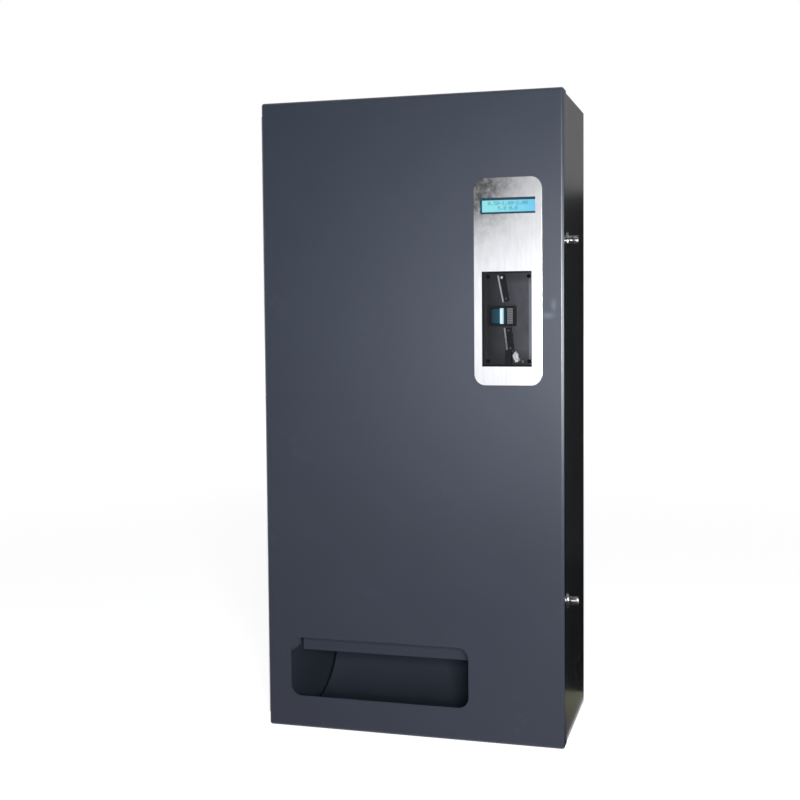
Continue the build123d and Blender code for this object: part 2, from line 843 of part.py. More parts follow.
# Coin panel, a tray behind the coin window with a flange behind the door
with BuildPart() as coin_panel:
    with BuildSketch(front_plane(door_front_y)):
        with Locations((coin_window_x, coin_window_z)):
            Rectangle(coin_tray_width, coin_tray_height)
    extrude(amount=-(coin_floor_y + coin_panel_sheet - door_front_y))
    with BuildSketch(front_plane(door_inner_y)):
        with Locations((coin_window_x, coin_window_z)):
            Rectangle(coin_tray_width + 2 * coin_panel_flange, coin_tray_height + 2 * coin_panel_flange)
    extrude(amount=-coin_panel_flange_sheet)
    with BuildSketch(front_plane(coin_floor_y)):
        with Locations((coin_window_x, coin_window_z)):
            Rectangle(coin_tray_width - 2 * coin_panel_rim, coin_tray_height - 2 * coin_panel_rim)
    extrude(amount=coin_floor_y - door_front_y, mode=Mode.SUBTRACT)
    with BuildSketch(front_plane(coin_floor_y)):
        with Locations(*coin_screw_places):
            Circle(coin_screw_radius + coin_screw_clearance)
        with Locations(*guide_screw_places):
            Circle(guide_screw_radius + guide_screw_clearance)
        with Locations((lever_pivot_x, lever_pivot_z)):
            Circle(lever_pin_radius + lever_pin_clearance)
        with Locations((lens_right - entry_slot_from_right, head_z)):
            Rectangle(entry_slot_width, entry_slot_height)
    extrude(amount=-coin_panel_sheet, mode=Mode.SUBTRACT)
    with BuildSketch(front_plane(coin_floor_y)):
        with Locations((stop_peg_x, stop_peg_z)):
            Circle(stop_peg_radius)
    extrude(amount=stop_peg_height)
coin_panel.part.label = "coin_panel"
export_step(coin_panel.part, "parts/coin_panel.step")


def add_screws(places, face_y, head_radius, head, shank_radius, length):
    with BuildSketch(front_plane(face_y)) as heads:
        with Locations(*places):
            Circle(head_radius)
    extrude(heads.sketch, amount=head)
    with BuildSketch(front_plane(face_y)) as shanks:
        with Locations(*places):
            Circle(shank_radius)
    extrude(shanks.sketch, amount=-length)


# Screws through the coin panel: four at its corners and two in each guide
with BuildPart() as coin_panel_screws:
    add_screws(coin_screw_places, coin_floor_y, coin_screw_head_radius, coin_screw_head,
               coin_screw_radius, coin_screw_length)
    add_screws(guide_screw_places, coin_floor_y - guide_height, guide_screw_head_radius, guide_screw_head,
               guide_screw_radius, guide_screw_length + guide_height)
coin_panel_screws.part.label = "coin_panel_screws"
export_step(coin_panel_screws.part, "parts/coin_panel_screws.step")

# Upper coin guide
with BuildPart() as upper_coin_guide:
    with BuildSketch(upper_guide_plane):
        RectangleRounded(upper_guide_width, upper_guide_length, guide_edge)
        with Locations(*guide_screw_offsets(upper_guide_length)):
            Circle(guide_screw_radius + guide_screw_clearance, mode=Mode.SUBTRACT)
    extrude(amount=guide_height)
upper_coin_guide.part.label = "upper_coin_guide"
export_step(upper_coin_guide.part, "parts/upper_coin_guide.step")

# Lower coin guide with its square foot
with BuildPart() as lower_coin_guide:
    with BuildSketch(lower_guide_plane):
        RectangleRounded(lower_guide_width, lower_guide_length, guide_edge)
    extrude(amount=guide_height)
    with BuildSketch(front_plane(coin_floor_y)):
        with Locations((guide_foot_x, guide_foot_base + guide_foot_height / 2)):
            RectangleRounded(guide_foot_width, guide_foot_height, guide_edge)
    extrude(amount=guide_height)
    with BuildSketch(lower_guide_plane):
        with Locations(*guide_screw_offsets(lower_guide_length)):
            Circle(guide_screw_radius + guide_screw_clearance)
    extrude(amount=guide_height, mode=Mode.SUBTRACT)
lower_coin_guide.part.label = "lower_coin_guide"
export_step(lower_coin_guide.part, "parts/lower_coin_guide.step")

# Steel strips along the left edges of both guides
with BuildPart() as coin_guide_strips:
    with BuildSketch(upper_guide_plane):
        with Locations((-(upper_guide_width + strip_width) / 2, 0)):
            Rectangle(strip_width, upper_guide_length)
    extrude(amount=guide_height + strip_stand)
    with BuildSketch(lower_guide_plane):
        with Locations((-(lower_guide_width + strip_width) / 2,
                        (lower_guide_length - lower_strip_length) / 2)):
            Rectangle(strip_width, lower_strip_length)
    extrude(amount=guide_height + strip_stand)
coin_guide_strips.part.label = "coin_guide_strips"
export_step(coin_guide_strips.part, "parts/coin_guide_strips.step")

# Coin head, the block between the guides with a pocket for the lens and one for the button
with BuildPart() as coin_head:
    with BuildSketch(front_plane(coin_floor_y)):
        with Locations((head_x, head_z)):
            RectangleRounded(head_width, head_height, head_corner)
    extrude(amount=head_depth)
    with BuildSketch(front_plane(coin_floor_y)):
        rectangle_between(lens_left, head_pocket_low, lens_right, head_pocket_high)
        rectangle_between(button_left, head_pocket_low, button_right, head_pocket_high)
    extrude(amount=head_depth, mode=Mode.SUBTRACT)
coin_head.part.label = "coin_head"
export_step(coin_head.part, "parts/coin_head.step")

# Coin entry, a tinted block with the upright coin slot between bevelled lips
with BuildPart() as coin_entry_lens:
    with BuildSketch(front_plane(coin_floor_y)):
        rectangle_between(lens_left + entry_fit, head_pocket_low + entry_fit,
                          lens_right - entry_fit, head_pocket_high - entry_fit)
    extrude(amount=head_depth + entry_stand)
    chamfer(coin_entry_lens.faces().sort_by(Axis.Y)[0].edges(), entry_stand)
    with BuildSketch(front_plane(coin_floor_y - head_depth - entry_stand)):
        with Locations((lens_right - entry_slot_from_right, head_z)):
            Rectangle(entry_slot_width, entry_slot_height)
    extrude(amount=-(head_depth + entry_stand), mode=Mode.SUBTRACT)
coin_entry_lens.part.label = "coin_entry_lens"
export_step(coin_entry_lens.part, "parts/coin_entry_lens.step")

# Reject button, ribbed across its face
with BuildPart() as reject_button:
    button_low = head_pocket_low + button_fit
    button_high = head_pocket_high - button_fit
    button_back_y = coin_floor_y - button_travel - rest_gap
    with BuildSketch(front_plane(button_back_y)):
        rectangle_between(button_left + button_fit, button_low, button_right - button_fit, button_high)
    extrude(amount=button_back_y - button_front_y)
    fillet(reject_button.edges().filter_by(Axis.Y), button_corner)
    button_groove = (button_high - button_low) / (2 * button_rib_count + 1)
    for rib in range(button_rib_count):
        groove_low = button_low + (2 * rib + 1) * button_groove
        block(button_left, button_right, button_front_y, button_front_y + button_rib_depth,
              groove_low, groove_low + button_groove, mode=Mode.SUBTRACT)
reject_button.part.label = "reject_button"
export_step(reject_button.part, "parts/reject_button.step")

# Coin return lever, a tapered knob on a round hub with its spindle, grooved down the middle
with BuildPart() as return_lever:
    with BuildSketch(front_plane(lever_back_y)):
        with Locations((lever_pivot_x, lever_pivot_z)):
            Circle(lever_hub_radius)
    extrude(amount=lever_hub_height)
    with BuildSketch(front_plane(lever_back_y)):
        with Locations((lever_pivot_x, lever_pivot_z)):
            Circle(lever_pin_radius)
    extrude(amount=-lever_pin_length)
    with BuildSketch(knob_plane):
        with BuildLine():
            Polyline(
                (-knob_foot_width / 2, -knob_foot_drop),
                (knob_foot_width / 2, -knob_foot_drop),
                (knob_width / 2, knob_shoulder_rise),
                (knob_peak_across, knob_peak_rise),
                (-knob_width / 2, knob_shoulder_rise),
                close=True,
            )
        make_face()
    extrude(amount=knob_height)
    chamfer(return_lever.faces().sort_by(Axis.Y)[0].edges(), knob_facet)
    with BuildSketch(knob_front_plane):
        with Locations((0, -knob_groove_drop)):
            Rectangle(knob_groove_width, knob_groove_length)
    extrude(amount=-knob_groove_depth, mode=Mode.SUBTRACT)
return_lever.part.label = "return_lever"
export_step(return_lever.part, "parts/return_lever.step")

# Coin validator behind the coin panel
with BuildPart() as coin_validator:
    validator_left = coin_window_x - validator_width / 2
    validator_right = coin_window_x + validator_width / 2
    validator_low = coin_window_z - validator_height / 2
    validator_high = coin_window_z + validator_height / 2
    block(validator_left, validator_right, validator_front_y, validator_back_y, validator_low, validator_high)
    block(validator_left, validator_right, validator_back_y - validator_step, validator_back_y,
          validator_high - validator_step_height, validator_high, mode=Mode.SUBTRACT)
    fillet(coin_validator.edges().filter_by(Axis.Z), validator_edge)
    block(coin_window_x - validator_outlet_width / 2, coin_window_x + validator_outlet_width / 2,
          validator_mid_y - validator_outlet_depth / 2, validator_mid_y + validator_outlet_depth / 2,
          validator_low, validator_low + validator_outlet_height, mode=Mode.SUBTRACT)
    with BuildSketch(front_plane(validator_front_y)):
        with Locations(*coin_screw_places):
            Circle(coin_screw_radius + coin_screw_clearance)
        with Locations(*guide_screw_places):
            Circle(guide_screw_radius + guide_screw_clearance)
        with Locations((lever_pivot_x, lever_pivot_z)):
            Circle(lever_pin_radius + lever_pin_clearance)
        with Locations((lens_right - entry_slot_from_right, head_z)):
            Rectangle(entry_slot_width, entry_slot_height)
    extrude(amount=-coin_screw_length, mode=Mode.SUBTRACT)
coin_validator.part.label = "coin_validator"
export_step(coin_validator.part, "parts/coin_validator.step")

# Round collars of both locks, against the outside of the right side
with BuildPart() as lock_collars:
    with BuildSketch(side_plane(body_half)):
        with Locations(*lock_places):
            Circle(collar_radius)
            Circle(barrel_radius + barrel_hole_clearance, mode=Mode.SUBTRACT)
    extrude(amount=collar_thickness)
    chamfer(lock_collars.faces().group_by(Axis.X)[-1].edges().filter_by(
        lambda edge: edge.radius > barrel_radius + collar_chamfer), collar_chamfer)
lock_collars.part.label = "lock_collars"
export_step(lock_collars.part, "parts/lock_collars.step")

# Lock barrels, bored for the plugs
with BuildPart() as lock_barrels:
    with BuildSketch(side_plane(body_half - barrel_in)):
        with Locations(*lock_places):
            Circle(barrel_radius)
    extrude(amount=barrel_in + barrel_out)
    chamfer(lock_barrels.faces().group_by(Axis.X)[-1].edges(), barrel_chamfer)
    with BuildSketch(side_plane(body_half - barrel_in)):
        with Locations(*lock_places):
            Circle(plug_radius + plug_clearance)
    extrude(amount=barrel_in + barrel_out, mode=Mode.SUBTRACT)
lock_barrels.part.label = "lock_barrels"
export_step(lock_barrels.part, "parts/lock_barrels.step")

# Nuts that clamp the locks from inside
with BuildPart() as lock_nuts:
    with BuildSketch(side_plane(inner_half - lock_nut_height)):
        with Locations(*lock_places):
            RegularPolygon(lock_nut_across / 2, 6, major_radius=False)
            Circle(barrel_radius + lock_nut_clearance, mode=Mode.SUBTRACT)
    extrude(amount=lock_nut_height)
lock_nuts.part.label = "lock_nuts"
export_step(lock_nuts.part, "parts/lock_nuts.step")


def lock_plug(height):
    with BuildPart() as plug:
        with BuildSketch(side_plane(body_half - barrel_in)):
            with Locations((lock_y, height)):
                Circle(plug_radius)
        extrude(amount=barrel_in + barrel_out - plug_recess)
        with BuildSketch(side_plane(cam_x - plug_tail)):
            with Locations((lock_y, height)):
                Rectangle(plug_tail_square, plug_tail_square)
        extrude(amount=plug_tail + cam_thickness + cam_gap)
        with BuildSketch(side_plane(body_half + barrel_out - plug_recess - key_slot_depth)):
            with Locations((lock_y, height)):
                Rectangle(key_slot_width, key_slot_height)
        extrude(amount=key_slot_depth, mode=Mode.SUBTRACT)
    return plug.part


def lock_cam(height):
    with BuildPart() as cam:
        with BuildSketch(side_plane(cam_x)):
            with Locations((lock_y, height)):
                Circle(cam_width / 2)
            rectangle_between(lock_y - cam_length, height - cam_width / 2, lock_y, height + cam_width / 2)
            with Locations((lock_y, height)):
                Rectangle(plug_tail_square + 2 * cam_fit, plug_tail_square + 2 * cam_fit, mode=Mode.SUBTRACT)
        extrude(amount=cam_thickness)
    return cam.part


# Plug and cam of each lock
for lock_name, height in zip(("lower", "upper"), lock_heights):
    plug_part = lock_plug(height)
    plug_part.label = f"{lock_name}_lock_plug"
    export_step(plug_part, f"parts/{lock_name}_lock_plug.step")
    cam_part = lock_cam(height)
    cam_part.label = f"{lock_name}_lock_cam"
    export_step(cam_part, f"parts/{lock_name}_lock_cam.step")


def magazine_plate(plate_x):
    with BuildPart() as plate:
        with BuildSketch(side_plane(plate_x)):
            with BuildLine():
                Polyline(
                    (inner_back_y, wall),
                    (inner_back_y, magazine_top_z),
                    (magazine_front_y, magazine_top_z),
                    (magazine_front_y, nose_top_z),
                    (door_inner_y + nose_front_gap, nose_top_z),
                    (door_inner_y + nose_front_gap, jamb_width + nose_front_gap),
                    (body_front_y + wall + nose_front_gap, jamb_width + nose_front_gap),
                    (body_front_y + wall + nose_front_gap, wall),
                    close=True,
                )
            make_face()
            with Locations((drum_y, drum_z)):
                Circle(bush_radius, mode=Mode.SUBTRACT)
        extrude(amount=magazine_sheet)
    return plate.part


# Magazine side plates, which are also the side walls of the delivery tray
for side_name, plate_x in (("left", magazine_left_x - magazine_sheet), ("right", magazine_right_x)):
    side_plate = magazine_plate(plate_x)
    side_plate.label = f"magazine_{side_name}_plate"
    export_step(side_plate, f"parts/magazine_{side_name}_plate.step")

# Magazine cover in front of the ramps
with BuildPart() as magazine_cover:
    block(magazine_left_x - magazine_sheet, bay_left_x, magazine_front_y - magazine_sheet, magazine_front_y,
          cover_base_z, magazine_top_z)
magazine_cover.part.label = "magazine_cover"
export_step(magazine_cover.part, "parts/magazine_cover.step")


def magazine_ramp(high_y, low_y, low_z):
    fall = tan(radians(ramp_slope)) * abs(high_y - low_y)
    high_z = low_z + fall
    with BuildPart() as ramp:
        with BuildSketch(side_plane(magazine_left_x)):
            with BuildLine():
                Polyline(
                    (low_y, low_z),
                    (high_y, high_z),
                    (high_y, high_z - ramp_sheet),
                    (low_y, low_z - ramp_sheet),
                    close=True,
                )
            make_face()
        extrude(amount=magazine_inner_width)
        with BuildSketch(side_plane(magazine_left_x)) as tab_outline:
            with BuildLine():
                Polyline(
                    (low_y, low_z - ramp_sheet),
                    (high_y, high_z - ramp_sheet),
                    (high_y, high_z - ramp_tab),
                    (low_y, low_z - ramp_tab),
                    close=True,
                )
            make_face()
        extrude(amount=ramp_sheet)
        with BuildSketch(side_plane(magazine_right_x - ramp_sheet)):
            add(tab_outline.sketch_local)
        extrude(amount=ramp_sheet)
    return ramp.part


# Ramps, which fall forward and backward in turn
for ramp_index in range(ramp_count):
    ramp_low_z = ramp_first_z + ramp_index * ramp_pitch
    if ramp_index % 2 == 0:
        ramp_part = magazine_ramp(inner_back_y - ramp_wall_gap, magazine_front_y + umbrella_room, ramp_low_z)
    else:
        ramp_part = magazine_ramp(magazine_front_y + ramp_wall_gap, inner_back_y - umbrella_room, ramp_low_z)
    ramp_part.label = f"ramp_{ramp_index + 1}"
    export_step(ramp_part, f"parts/ramp_{ramp_index + 1}.step")

# Hopper plates, which lead the last umbrella into the drum
with BuildPart() as hopper_plates:
    for wall_y, edge_y in ((magazine_front_y + ramp_wall_gap, drum_y - hopper_room / 2),
                           (inner_back_y - ramp_wall_gap, drum_y + hopper_room / 2)):
        hopper_rise = tan(radians(hopper_slope)) * abs(wall_y - edge_y)
        with BuildSketch(side_plane(magazine_left_x)):
            with BuildLine():
                Polyline(
                    (edge_y, hopper_base_z),
                    (wall_y, hopper_base_z + hopper_rise),
                    (wall_y, hopper_base_z + hopper_rise + ramp_sheet),
                    (edge_y, hopper_base_z + ramp_sheet),
                    close=True,
                )
            make_face()
        extrude(amount=magazine_inner_width)
hopper_plates.part.label = "hopper_plates"
export_step(hopper_plates.part, "parts/hopper_plates.step")

# Dispensing drum, a thin shell with an umbrella pocket between two discs
with BuildPart() as dispensing_drum:
    with BuildSketch(side_plane(drum_left_x + drum_disc)):
        with Locations((drum_y, drum_z)):
            Circle(drum_radius)
            Circle(drum_pocket_radius, mode=Mode.SUBTRACT)
        rectangle_between(drum_y - drum_pocket_radius, drum_z, drum_y + drum_pocket_radius,
                          drum_z + drum_disc_radius, mode=Mode.SUBTRACT)
        offset(amount=-drum_sheet, kind=Kind.INTERSECTION, mode=Mode.SUBTRACT)
    extrude(amount=drum_right_x - drum_left_x - 2 * drum_disc)
    for disc_x in (drum_left_x, drum_right_x - drum_disc):
        with BuildSketch(side_plane(disc_x)):
            with Locations((drum_y, drum_z)):
                Circle(drum_disc_radius)
                Circle(axle_radius + axle_fit, mode=Mode.SUBTRACT)
        extrude(amount=drum_disc)
dispensing_drum.part.label = "dispensing_drum"
export_step(dispensing_drum.part, "parts/dispensing_drum.step")

# Stub axles of the drum; the right one carries the gear
with BuildPart() as drum_axles:
    for axle_left, axle_right in ((magazine_left_x - axle_inner, drum_left_x + drum_disc),
                                  (drum_right_x - drum_disc, gear_left_x + gear_width + gear_hub_length)):
        with BuildSketch(side_plane(axle_left)):
            with Locations((drum_y, drum_z)):
                Circle(axle_radius)
        extrude(amount=axle_right - axle_left)
drum_axles.part.label = "drum_axles"
export_step(drum_axles.part, "parts/drum_axles.step")

# Flanged bushes in the side plates
with BuildPart() as drum_bushes:
    for flange_x, sleeve_x in ((magazine_left_x - magazine_sheet - bush_flange,
                                magazine_left_x - magazine_sheet),
                               (bay_left_x, magazine_right_x - bush_overhang)):
        with BuildSketch(side_plane(flange_x)):
            with Locations((drum_y, drum_z)):
                Circle(bush_flange_radius)
                Circle(axle_radius + bush_clearance, mode=Mode.SUBTRACT)
        extrude(amount=bush_flange)
        with BuildSketch(side_plane(sleeve_x)):
            with Locations((drum_y, drum_z)):
                Circle(bush_radius - bush_fit)
                Circle(axle_radius + bush_clearance, mode=Mode.SUBTRACT)
        extrude(amount=magazine_sheet + bush_overhang)
drum_bushes.part.label = "drum_bushes"
export_step(drum_bushes.part, "parts/drum_bushes.step")


def toothed_outline(teeth, first_angle):
    pitch_radius = gear_module * teeth / 2
    root_radius = pitch_radius - tooth_root_share * gear_module
    tip_radius = pitch_radius + tooth_top_share * gear_module
    half_pitch = tooth_share * pi * gear_module / 4
    half_tip = half_pitch - tooth_top_share * gear_module * tan(radians(tooth_flank))
    half_root = half_pitch + tooth_root_share * gear_module * tan(radians(tooth_flank))
    buried_radius = root_radius - half_root * half_root / root_radius
    with BuildSketch() as tooth:
        with BuildLine():
            Polyline(
                (buried_radius, -half_root),
                (tip_radius, -half_tip),
                (tip_radius, half_tip),
                (buried_radius, half_root),
                close=True,
            )
        make_face()
    with BuildSketch() as outline:
        Circle(root_radius)
        with PolarLocations(0, teeth, start_angle=first_angle):
            add(tooth.sketch)
    return outline.sketch


# Drum gear, with a hub and lightening holes
with BuildPart() as drum_gear:
    with BuildSketch(side_plane(gear_left_x)):
        with Locations((drum_y, drum_z)):
            add(toothed_outline(gear_teeth, 0))
            Circle(axle_radius + axle_fit, mode=Mode.SUBTRACT)
            with PolarLocations(gear_hole_ring_radius, gear_hole_count):
                Circle(gear_hole_radius, mode=Mode.SUBTRACT)
    extrude(amount=gear_width)
    with BuildSketch(side_plane(gear_left_x + gear_width)):
        with Locations((drum_y, drum_z)):
            Circle(gear_hub_radius)
            Circle(axle_radius + axle_fit, mode=Mode.SUBTRACT)
    extrude(amount=gear_hub_length)
drum_gear.part.label = "drum_gear"
export_step(drum_gear.part, "parts/drum_gear.step")

# Motor pinion on its shaft, with a gap between two teeth turned to the drum gear
with BuildPart() as motor_pinion:
    with BuildSketch(side_plane(gear_left_x)):
        with Locations((motor_y, drum_z)):
            add(toothed_outline(pinion_teeth, 180 / pinion_teeth))
    extrude(amount=gear_width)
    with BuildSketch(side_plane(gear_left_x + gear_width)):
        with Locations((motor_y, drum_z)):
            Circle(motor_shaft_radius)
    extrude(amount=motor_face_x + motor_shaft_depth - gear_left_x - gear_width)
motor_pinion.part.label = "motor_pinion"
export_step(motor_pinion.part, "parts/motor_pinion.step")

# Gear motor, a gearbox and a slimmer can
with BuildPart() as gear_motor:
    with BuildSketch(side_plane(motor_face_x)):
        with Locations((motor_y, drum_z)):
            Circle(motor_radius)
    extrude(amount=motor_gearbox)
    with BuildSketch(side_plane(motor_face_x + motor_gearbox)):
        with Locations((motor_y, drum_z)):
            Circle(motor_can_radius)
    extrude(amount=motor_can)
    chamfer(gear_motor.faces().sort_by(Axis.X)[-1].edges(), motor_chamfer)
    with BuildSketch(side_plane(motor_face_x)):
        with Locations((motor_y, drum_z)):
            Circle(motor_shaft_radius + motor_shaft_clearance)
    extrude(amount=motor_shaft_depth + rest_gap, mode=Mode.SUBTRACT)
gear_motor.part.label = "gear_motor"
export_step(gear_motor.part, "parts/gear_motor.step")

# Motor bracket, a bent strip that stands on the magazine's right plate
with BuildPart() as motor_bracket:
    with BuildSketch(front_plane(motor_y + bracket_width / 2)):
        with BuildLine():
            Polyline(
                (bay_left_x, drum_z + bracket_half + bracket_foot),
                (bay_left_x, drum_z + bracket_half),
                (bay_left_x + bracket_stand, drum_z + bracket_half),
                (bay_left_x + bracket_stand, drum_z - bracket_half),
                (bay_left_x, drum_z - bracket_half),
                (bay_left_x, drum_z - bracket_half - bracket_foot),
            )
            offset(amount=bracket_sheet, side=Side.LEFT)
        make_face()
    extrude(amount=bracket_width)
    with BuildSketch(side_plane(bay_left_x + bracket_stand)):
        with Locations((motor_y, drum_z)):
            Circle(motor_shaft_radius + motor_hole_clearance)
    extrude(amount=bracket_sheet, mode=Mode.SUBTRACT)
motor_bracket.part.label = "motor_bracket"
export_step(motor_bracket.part, "parts/motor_bracket.step")

# Delivery scoop, one bent sheet from the base up to the back
with BuildPart() as delivery_scoop:
    with BuildSketch(side_plane(magazine_left_x + scoop_side_gap)):
        with BuildLine():
            Polyline((scoop_front_y, wall), (scoop_front_y, scoop_floor_z), (scoop_centre_y, scoop_floor_z))
            CenterArc((scoop_centre_y, scoop_floor_z + scoop_radius), scoop_radius, 270, 90)
            Polyline(
                (scoop_centre_y + scoop_radius, scoop_floor_z + scoop_radius),
                (scoop_centre_y + scoop_radius, scoop_top_z),
                (inner_back_y, scoop_top_z),
            )
            offset(amount=scoop_sheet, side=Side.RIGHT)
        make_face()
    extrude(amount=magazine_inner_width - 2 * scoop_side_gap)
delivery_scoop.part.label = "delivery_scoop"
export_step(delivery_scoop.part, "parts/delivery_scoop.step")

# Guard above the scoop, which keeps hands away from the drum
with BuildPart() as tray_guard:
    block(magazine_left_x, magazine_right_x, guard_y, guard_y + guard_fold,
          guard_top_z - guard_sheet, guard_top_z)
    block(magazine_left_x + guard_left_gap, magazine_right_x, guard_y, guard_y + guard_sheet,
          guard_base_z, guard_top_z)
    block(magazine_left_x + guard_left_gap, magazine_left_x + guard_left_gap + guard_sheet,
          guard_y, guard_y + guard_fold, guard_base_z, guard_top_z)
    block(magazine_left_x + guard_left_gap, magazine_right_x, guard_y, guard_y + guard_fold,
          guard_base_z, guard_base_z + guard_sheet)
tray_guard.part.label = "tray_guard"
export_step(tray_guard.part, "parts/tray_guard.step")


def chute_outline(height, left, right, front, back, inset):
    with BuildSketch(level_plane(height)) as outline:
        rectangle_between(left + inset, front + inset, right - inset, back - inset)
    return outline.sketch


def chute_solid(inset, mode):
    mouth_left = coin_window_x - chute_mouth_width / 2
    mouth = chute_outline(chute_mouth_z, mouth_left, mouth_left + chute_mouth_width,
                          chute_mouth_y - chute_mouth_depth / 2, chute_mouth_y + chute_mouth_depth / 2, inset)
    throat = chute_outline(chute_throat_z, chute_left_x, chute_left_x + chute_width,
                           chute_y - chute_depth / 2, chute_y + chute_depth / 2, inset)
    loft([throat.face(), mouth.face()], mode=mode)
    extrude(throat, amount=chute_end_z - chute_throat_z, mode=mode)


# Coin chute from the validator down to the cash box
with BuildPart() as coin_chute:
    chute_solid(0, Mode.ADD)
    chute_solid(chute_sheet, Mode.SUBTRACT)
coin_chute.part.label = "coin_chute"
export_step(coin_chute.part, "parts/coin_chute.step")

# Cash box, an open tin
with BuildPart() as cash_box:
    block(cash_left_x, cash_right_x, cash_front_y, cash_front_y + cash_depth,
          cash_base_z, cash_base_z + cash_height)
    fillet(cash_box.edges().filter_by(Axis.Z), cash_corner)
    with BuildSketch(level_plane(cash_base_z + cash_sheet)):
        with Locations(((cash_left_x + cash_right_x) / 2, cash_front_y + cash_depth / 2)):
            RectangleRounded(cash_width - 2 * cash_sheet, cash_depth - 2 * cash_sheet,
                             cash_corner - cash_sheet)
    extrude(amount=cash_height - cash_sheet, mode=Mode.SUBTRACT)
cash_box.part.label = "cash_box"
export_step(cash_box.part, "parts/cash_box.step")

# Handle on the front of the cash box
with BuildPart() as cash_box_handle:
    handle_mid_x = (cash_left_x + cash_right_x) / 2
    handle_back_y = cash_front_y
    with BuildSketch(level_plane(cash_base_z + cash_handle_rise)):
        rectangle_between(handle_mid_x - cash_handle_width / 2, handle_back_y - cash_handle_out,
                          handle_mid_x + cash_handle_width / 2, handle_back_y)
        rectangle_between(handle_mid_x - cash_handle_width / 2 + cash_handle_bar,
                          handle_back_y - cash_handle_out + cash_handle_bar,
                          handle_mid_x + cash_handle_width / 2 - cash_handle_bar, handle_back_y,
                          mode=Mode.SUBTRACT)
    extrude(amount=cash_handle_bar)
    fillet(cash_box_handle.edges().filter_by(Axis.Z).group_by(Axis.Y)[0], cash_handle_corner)
cash_box_handle.part.label = "cash_box_handle"
export_step(cash_box_handle.part, "parts/cash_box_handle.step")

# Shelf for the cash box, with folded edges and one guide rail
with BuildPart() as cash_shelf:
    shelf_back_y = shelf_front_y + shelf_depth
    shelf_low_z = shelf_z - shelf_flange
    block(bay_left_x, inner_half, shelf_front_y, shelf_back_y, shelf_z, shelf_z + shelf_sheet)
    block(bay_left_x, bay_left_x + shelf_sheet, shelf_front_y, shelf_back_y, shelf_low_z, shelf_z)
    block(inner_half - shelf_sheet, inner_half, shelf_front_y, shelf_back_y, shelf_low_z, shelf_z)
    block(bay_left_x, inner_half, shelf_front_y, shelf_front_y + shelf_sheet, shelf_low_z, shelf_z)
    block(cash_right_x + cash_side_gap, cash_right_x + cash_side_gap + shelf_sheet, shelf_front_y, shelf_back_y,
          shelf_z, shelf_z + shelf_sheet + shelf_rail)
cash_shelf.part.label = "cash_shelf"
export_step(cash_shelf.part, "parts/cash_shelf.step")

# Controller board with relays, terminals, a processor and two capacitors
with BuildPart() as controller_board:
    with BuildSketch(front_plane(board_back_y)):
        with Locations((board_x, board_z)):
            Rectangle(board_width, board_height)
    extrude(amount=board_thickness)
    with BuildSketch(front_plane(board_front_y)):
        with Locations((board_x, board_z - relay_drop)):
            with GridLocations(relay_pitch, relay_pitch, relay_count, 1):
                Rectangle(relay_width, relay_height)
    extrude(amount=relay_depth)
    with BuildSketch(front_plane(board_front_y)):
        with Locations((board_x, board_z + terminal_rise), (board_x, board_z - terminal_rise)):
            Rectangle(terminal_width, terminal_height)
    extrude(amount=terminal_depth)
    with BuildSketch(front_plane(board_front_y)):
        with Locations((board_x - capacitor_x_step, board_z)):
            Rectangle(chip_size, chip_size)
    extrude(amount=chip_depth)
    with BuildSketch(front_plane(board_front_y)):
        with Locations((board_x + capacitor_x_step, board_z + capacitor_rise),
                       (board_x + 2 * capacitor_x_step, board_z + capacitor_rise)):
            Circle(capacitor_radius)
    extrude(amount=capacitor_height)
controller_board.part.label = "controller_board"
export_step(controller_board.part, "parts/controller_board.step")

# Standoffs between the board and the cabinet back
with BuildPart() as board_standoffs:
    with BuildSketch(front_plane(inner_back_y)):
        with Locations((board_x, board_z)):
            with GridLocations(board_width - 2 * board_edge, board_height - 2 * board_edge, 2, 2):
                Circle(standoff_radius)
    extrude(amount=standoff_length)
board_standoffs.part.label = "board_standoffs"
export_step(board_standoffs.part, "parts/board_standoffs.step")

# Power supply, a slotted case with a terminal ledge
with BuildPart() as power_supply:
    with BuildSketch(front_plane(inner_back_y)):
        with Locations((supply_x, supply_z)):
            Rectangle(supply_width, supply_height)
    extrude(amount=supply_depth)
    fillet(power_supply.edges().filter_by(Axis.Y), supply_edge)
    with BuildSketch(front_plane(supply_front_y)):
        with Locations((supply_x, supply_z)):
            with GridLocations(supply_slot_pitch, supply_slot_pitch, supply_slot_count, 1):
                SlotOverall(supply_slot_length, supply_slot_width, rotation=90)
    extrude(amount=-supply_slot_depth, mode=Mode.SUBTRACT)
    block(supply_x - supply_width / 2, supply_x + supply_width / 2,
          supply_front_y, supply_front_y + supply_depth / 2,
          supply_z - supply_height / 2, supply_z - supply_height / 2 + supply_terminal_height,
          mode=Mode.SUBTRACT)
power_supply.part.label = "power_supply"
export_step(power_supply.part, "parts/power_supply.step")
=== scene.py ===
import math

import bmesh
import bpy
from mathutils import Euler, Matrix, Vector


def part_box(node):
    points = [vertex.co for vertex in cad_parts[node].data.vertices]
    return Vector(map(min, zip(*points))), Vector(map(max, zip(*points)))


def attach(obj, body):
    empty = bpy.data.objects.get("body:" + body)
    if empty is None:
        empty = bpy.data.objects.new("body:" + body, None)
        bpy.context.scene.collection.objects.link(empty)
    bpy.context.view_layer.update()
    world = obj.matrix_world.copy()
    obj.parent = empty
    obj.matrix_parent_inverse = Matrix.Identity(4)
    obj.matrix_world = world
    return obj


bl_info = {
    "name": "Umbrella vending machine",
    "version": (1, 0, 0),
    "blender": (4, 5, 0),
    "location": "3D View > Sidebar > Umbrella machine",
    "description": "Finishes, display digits and studio for the umbrella vending machine",
    "category": "Object",
}

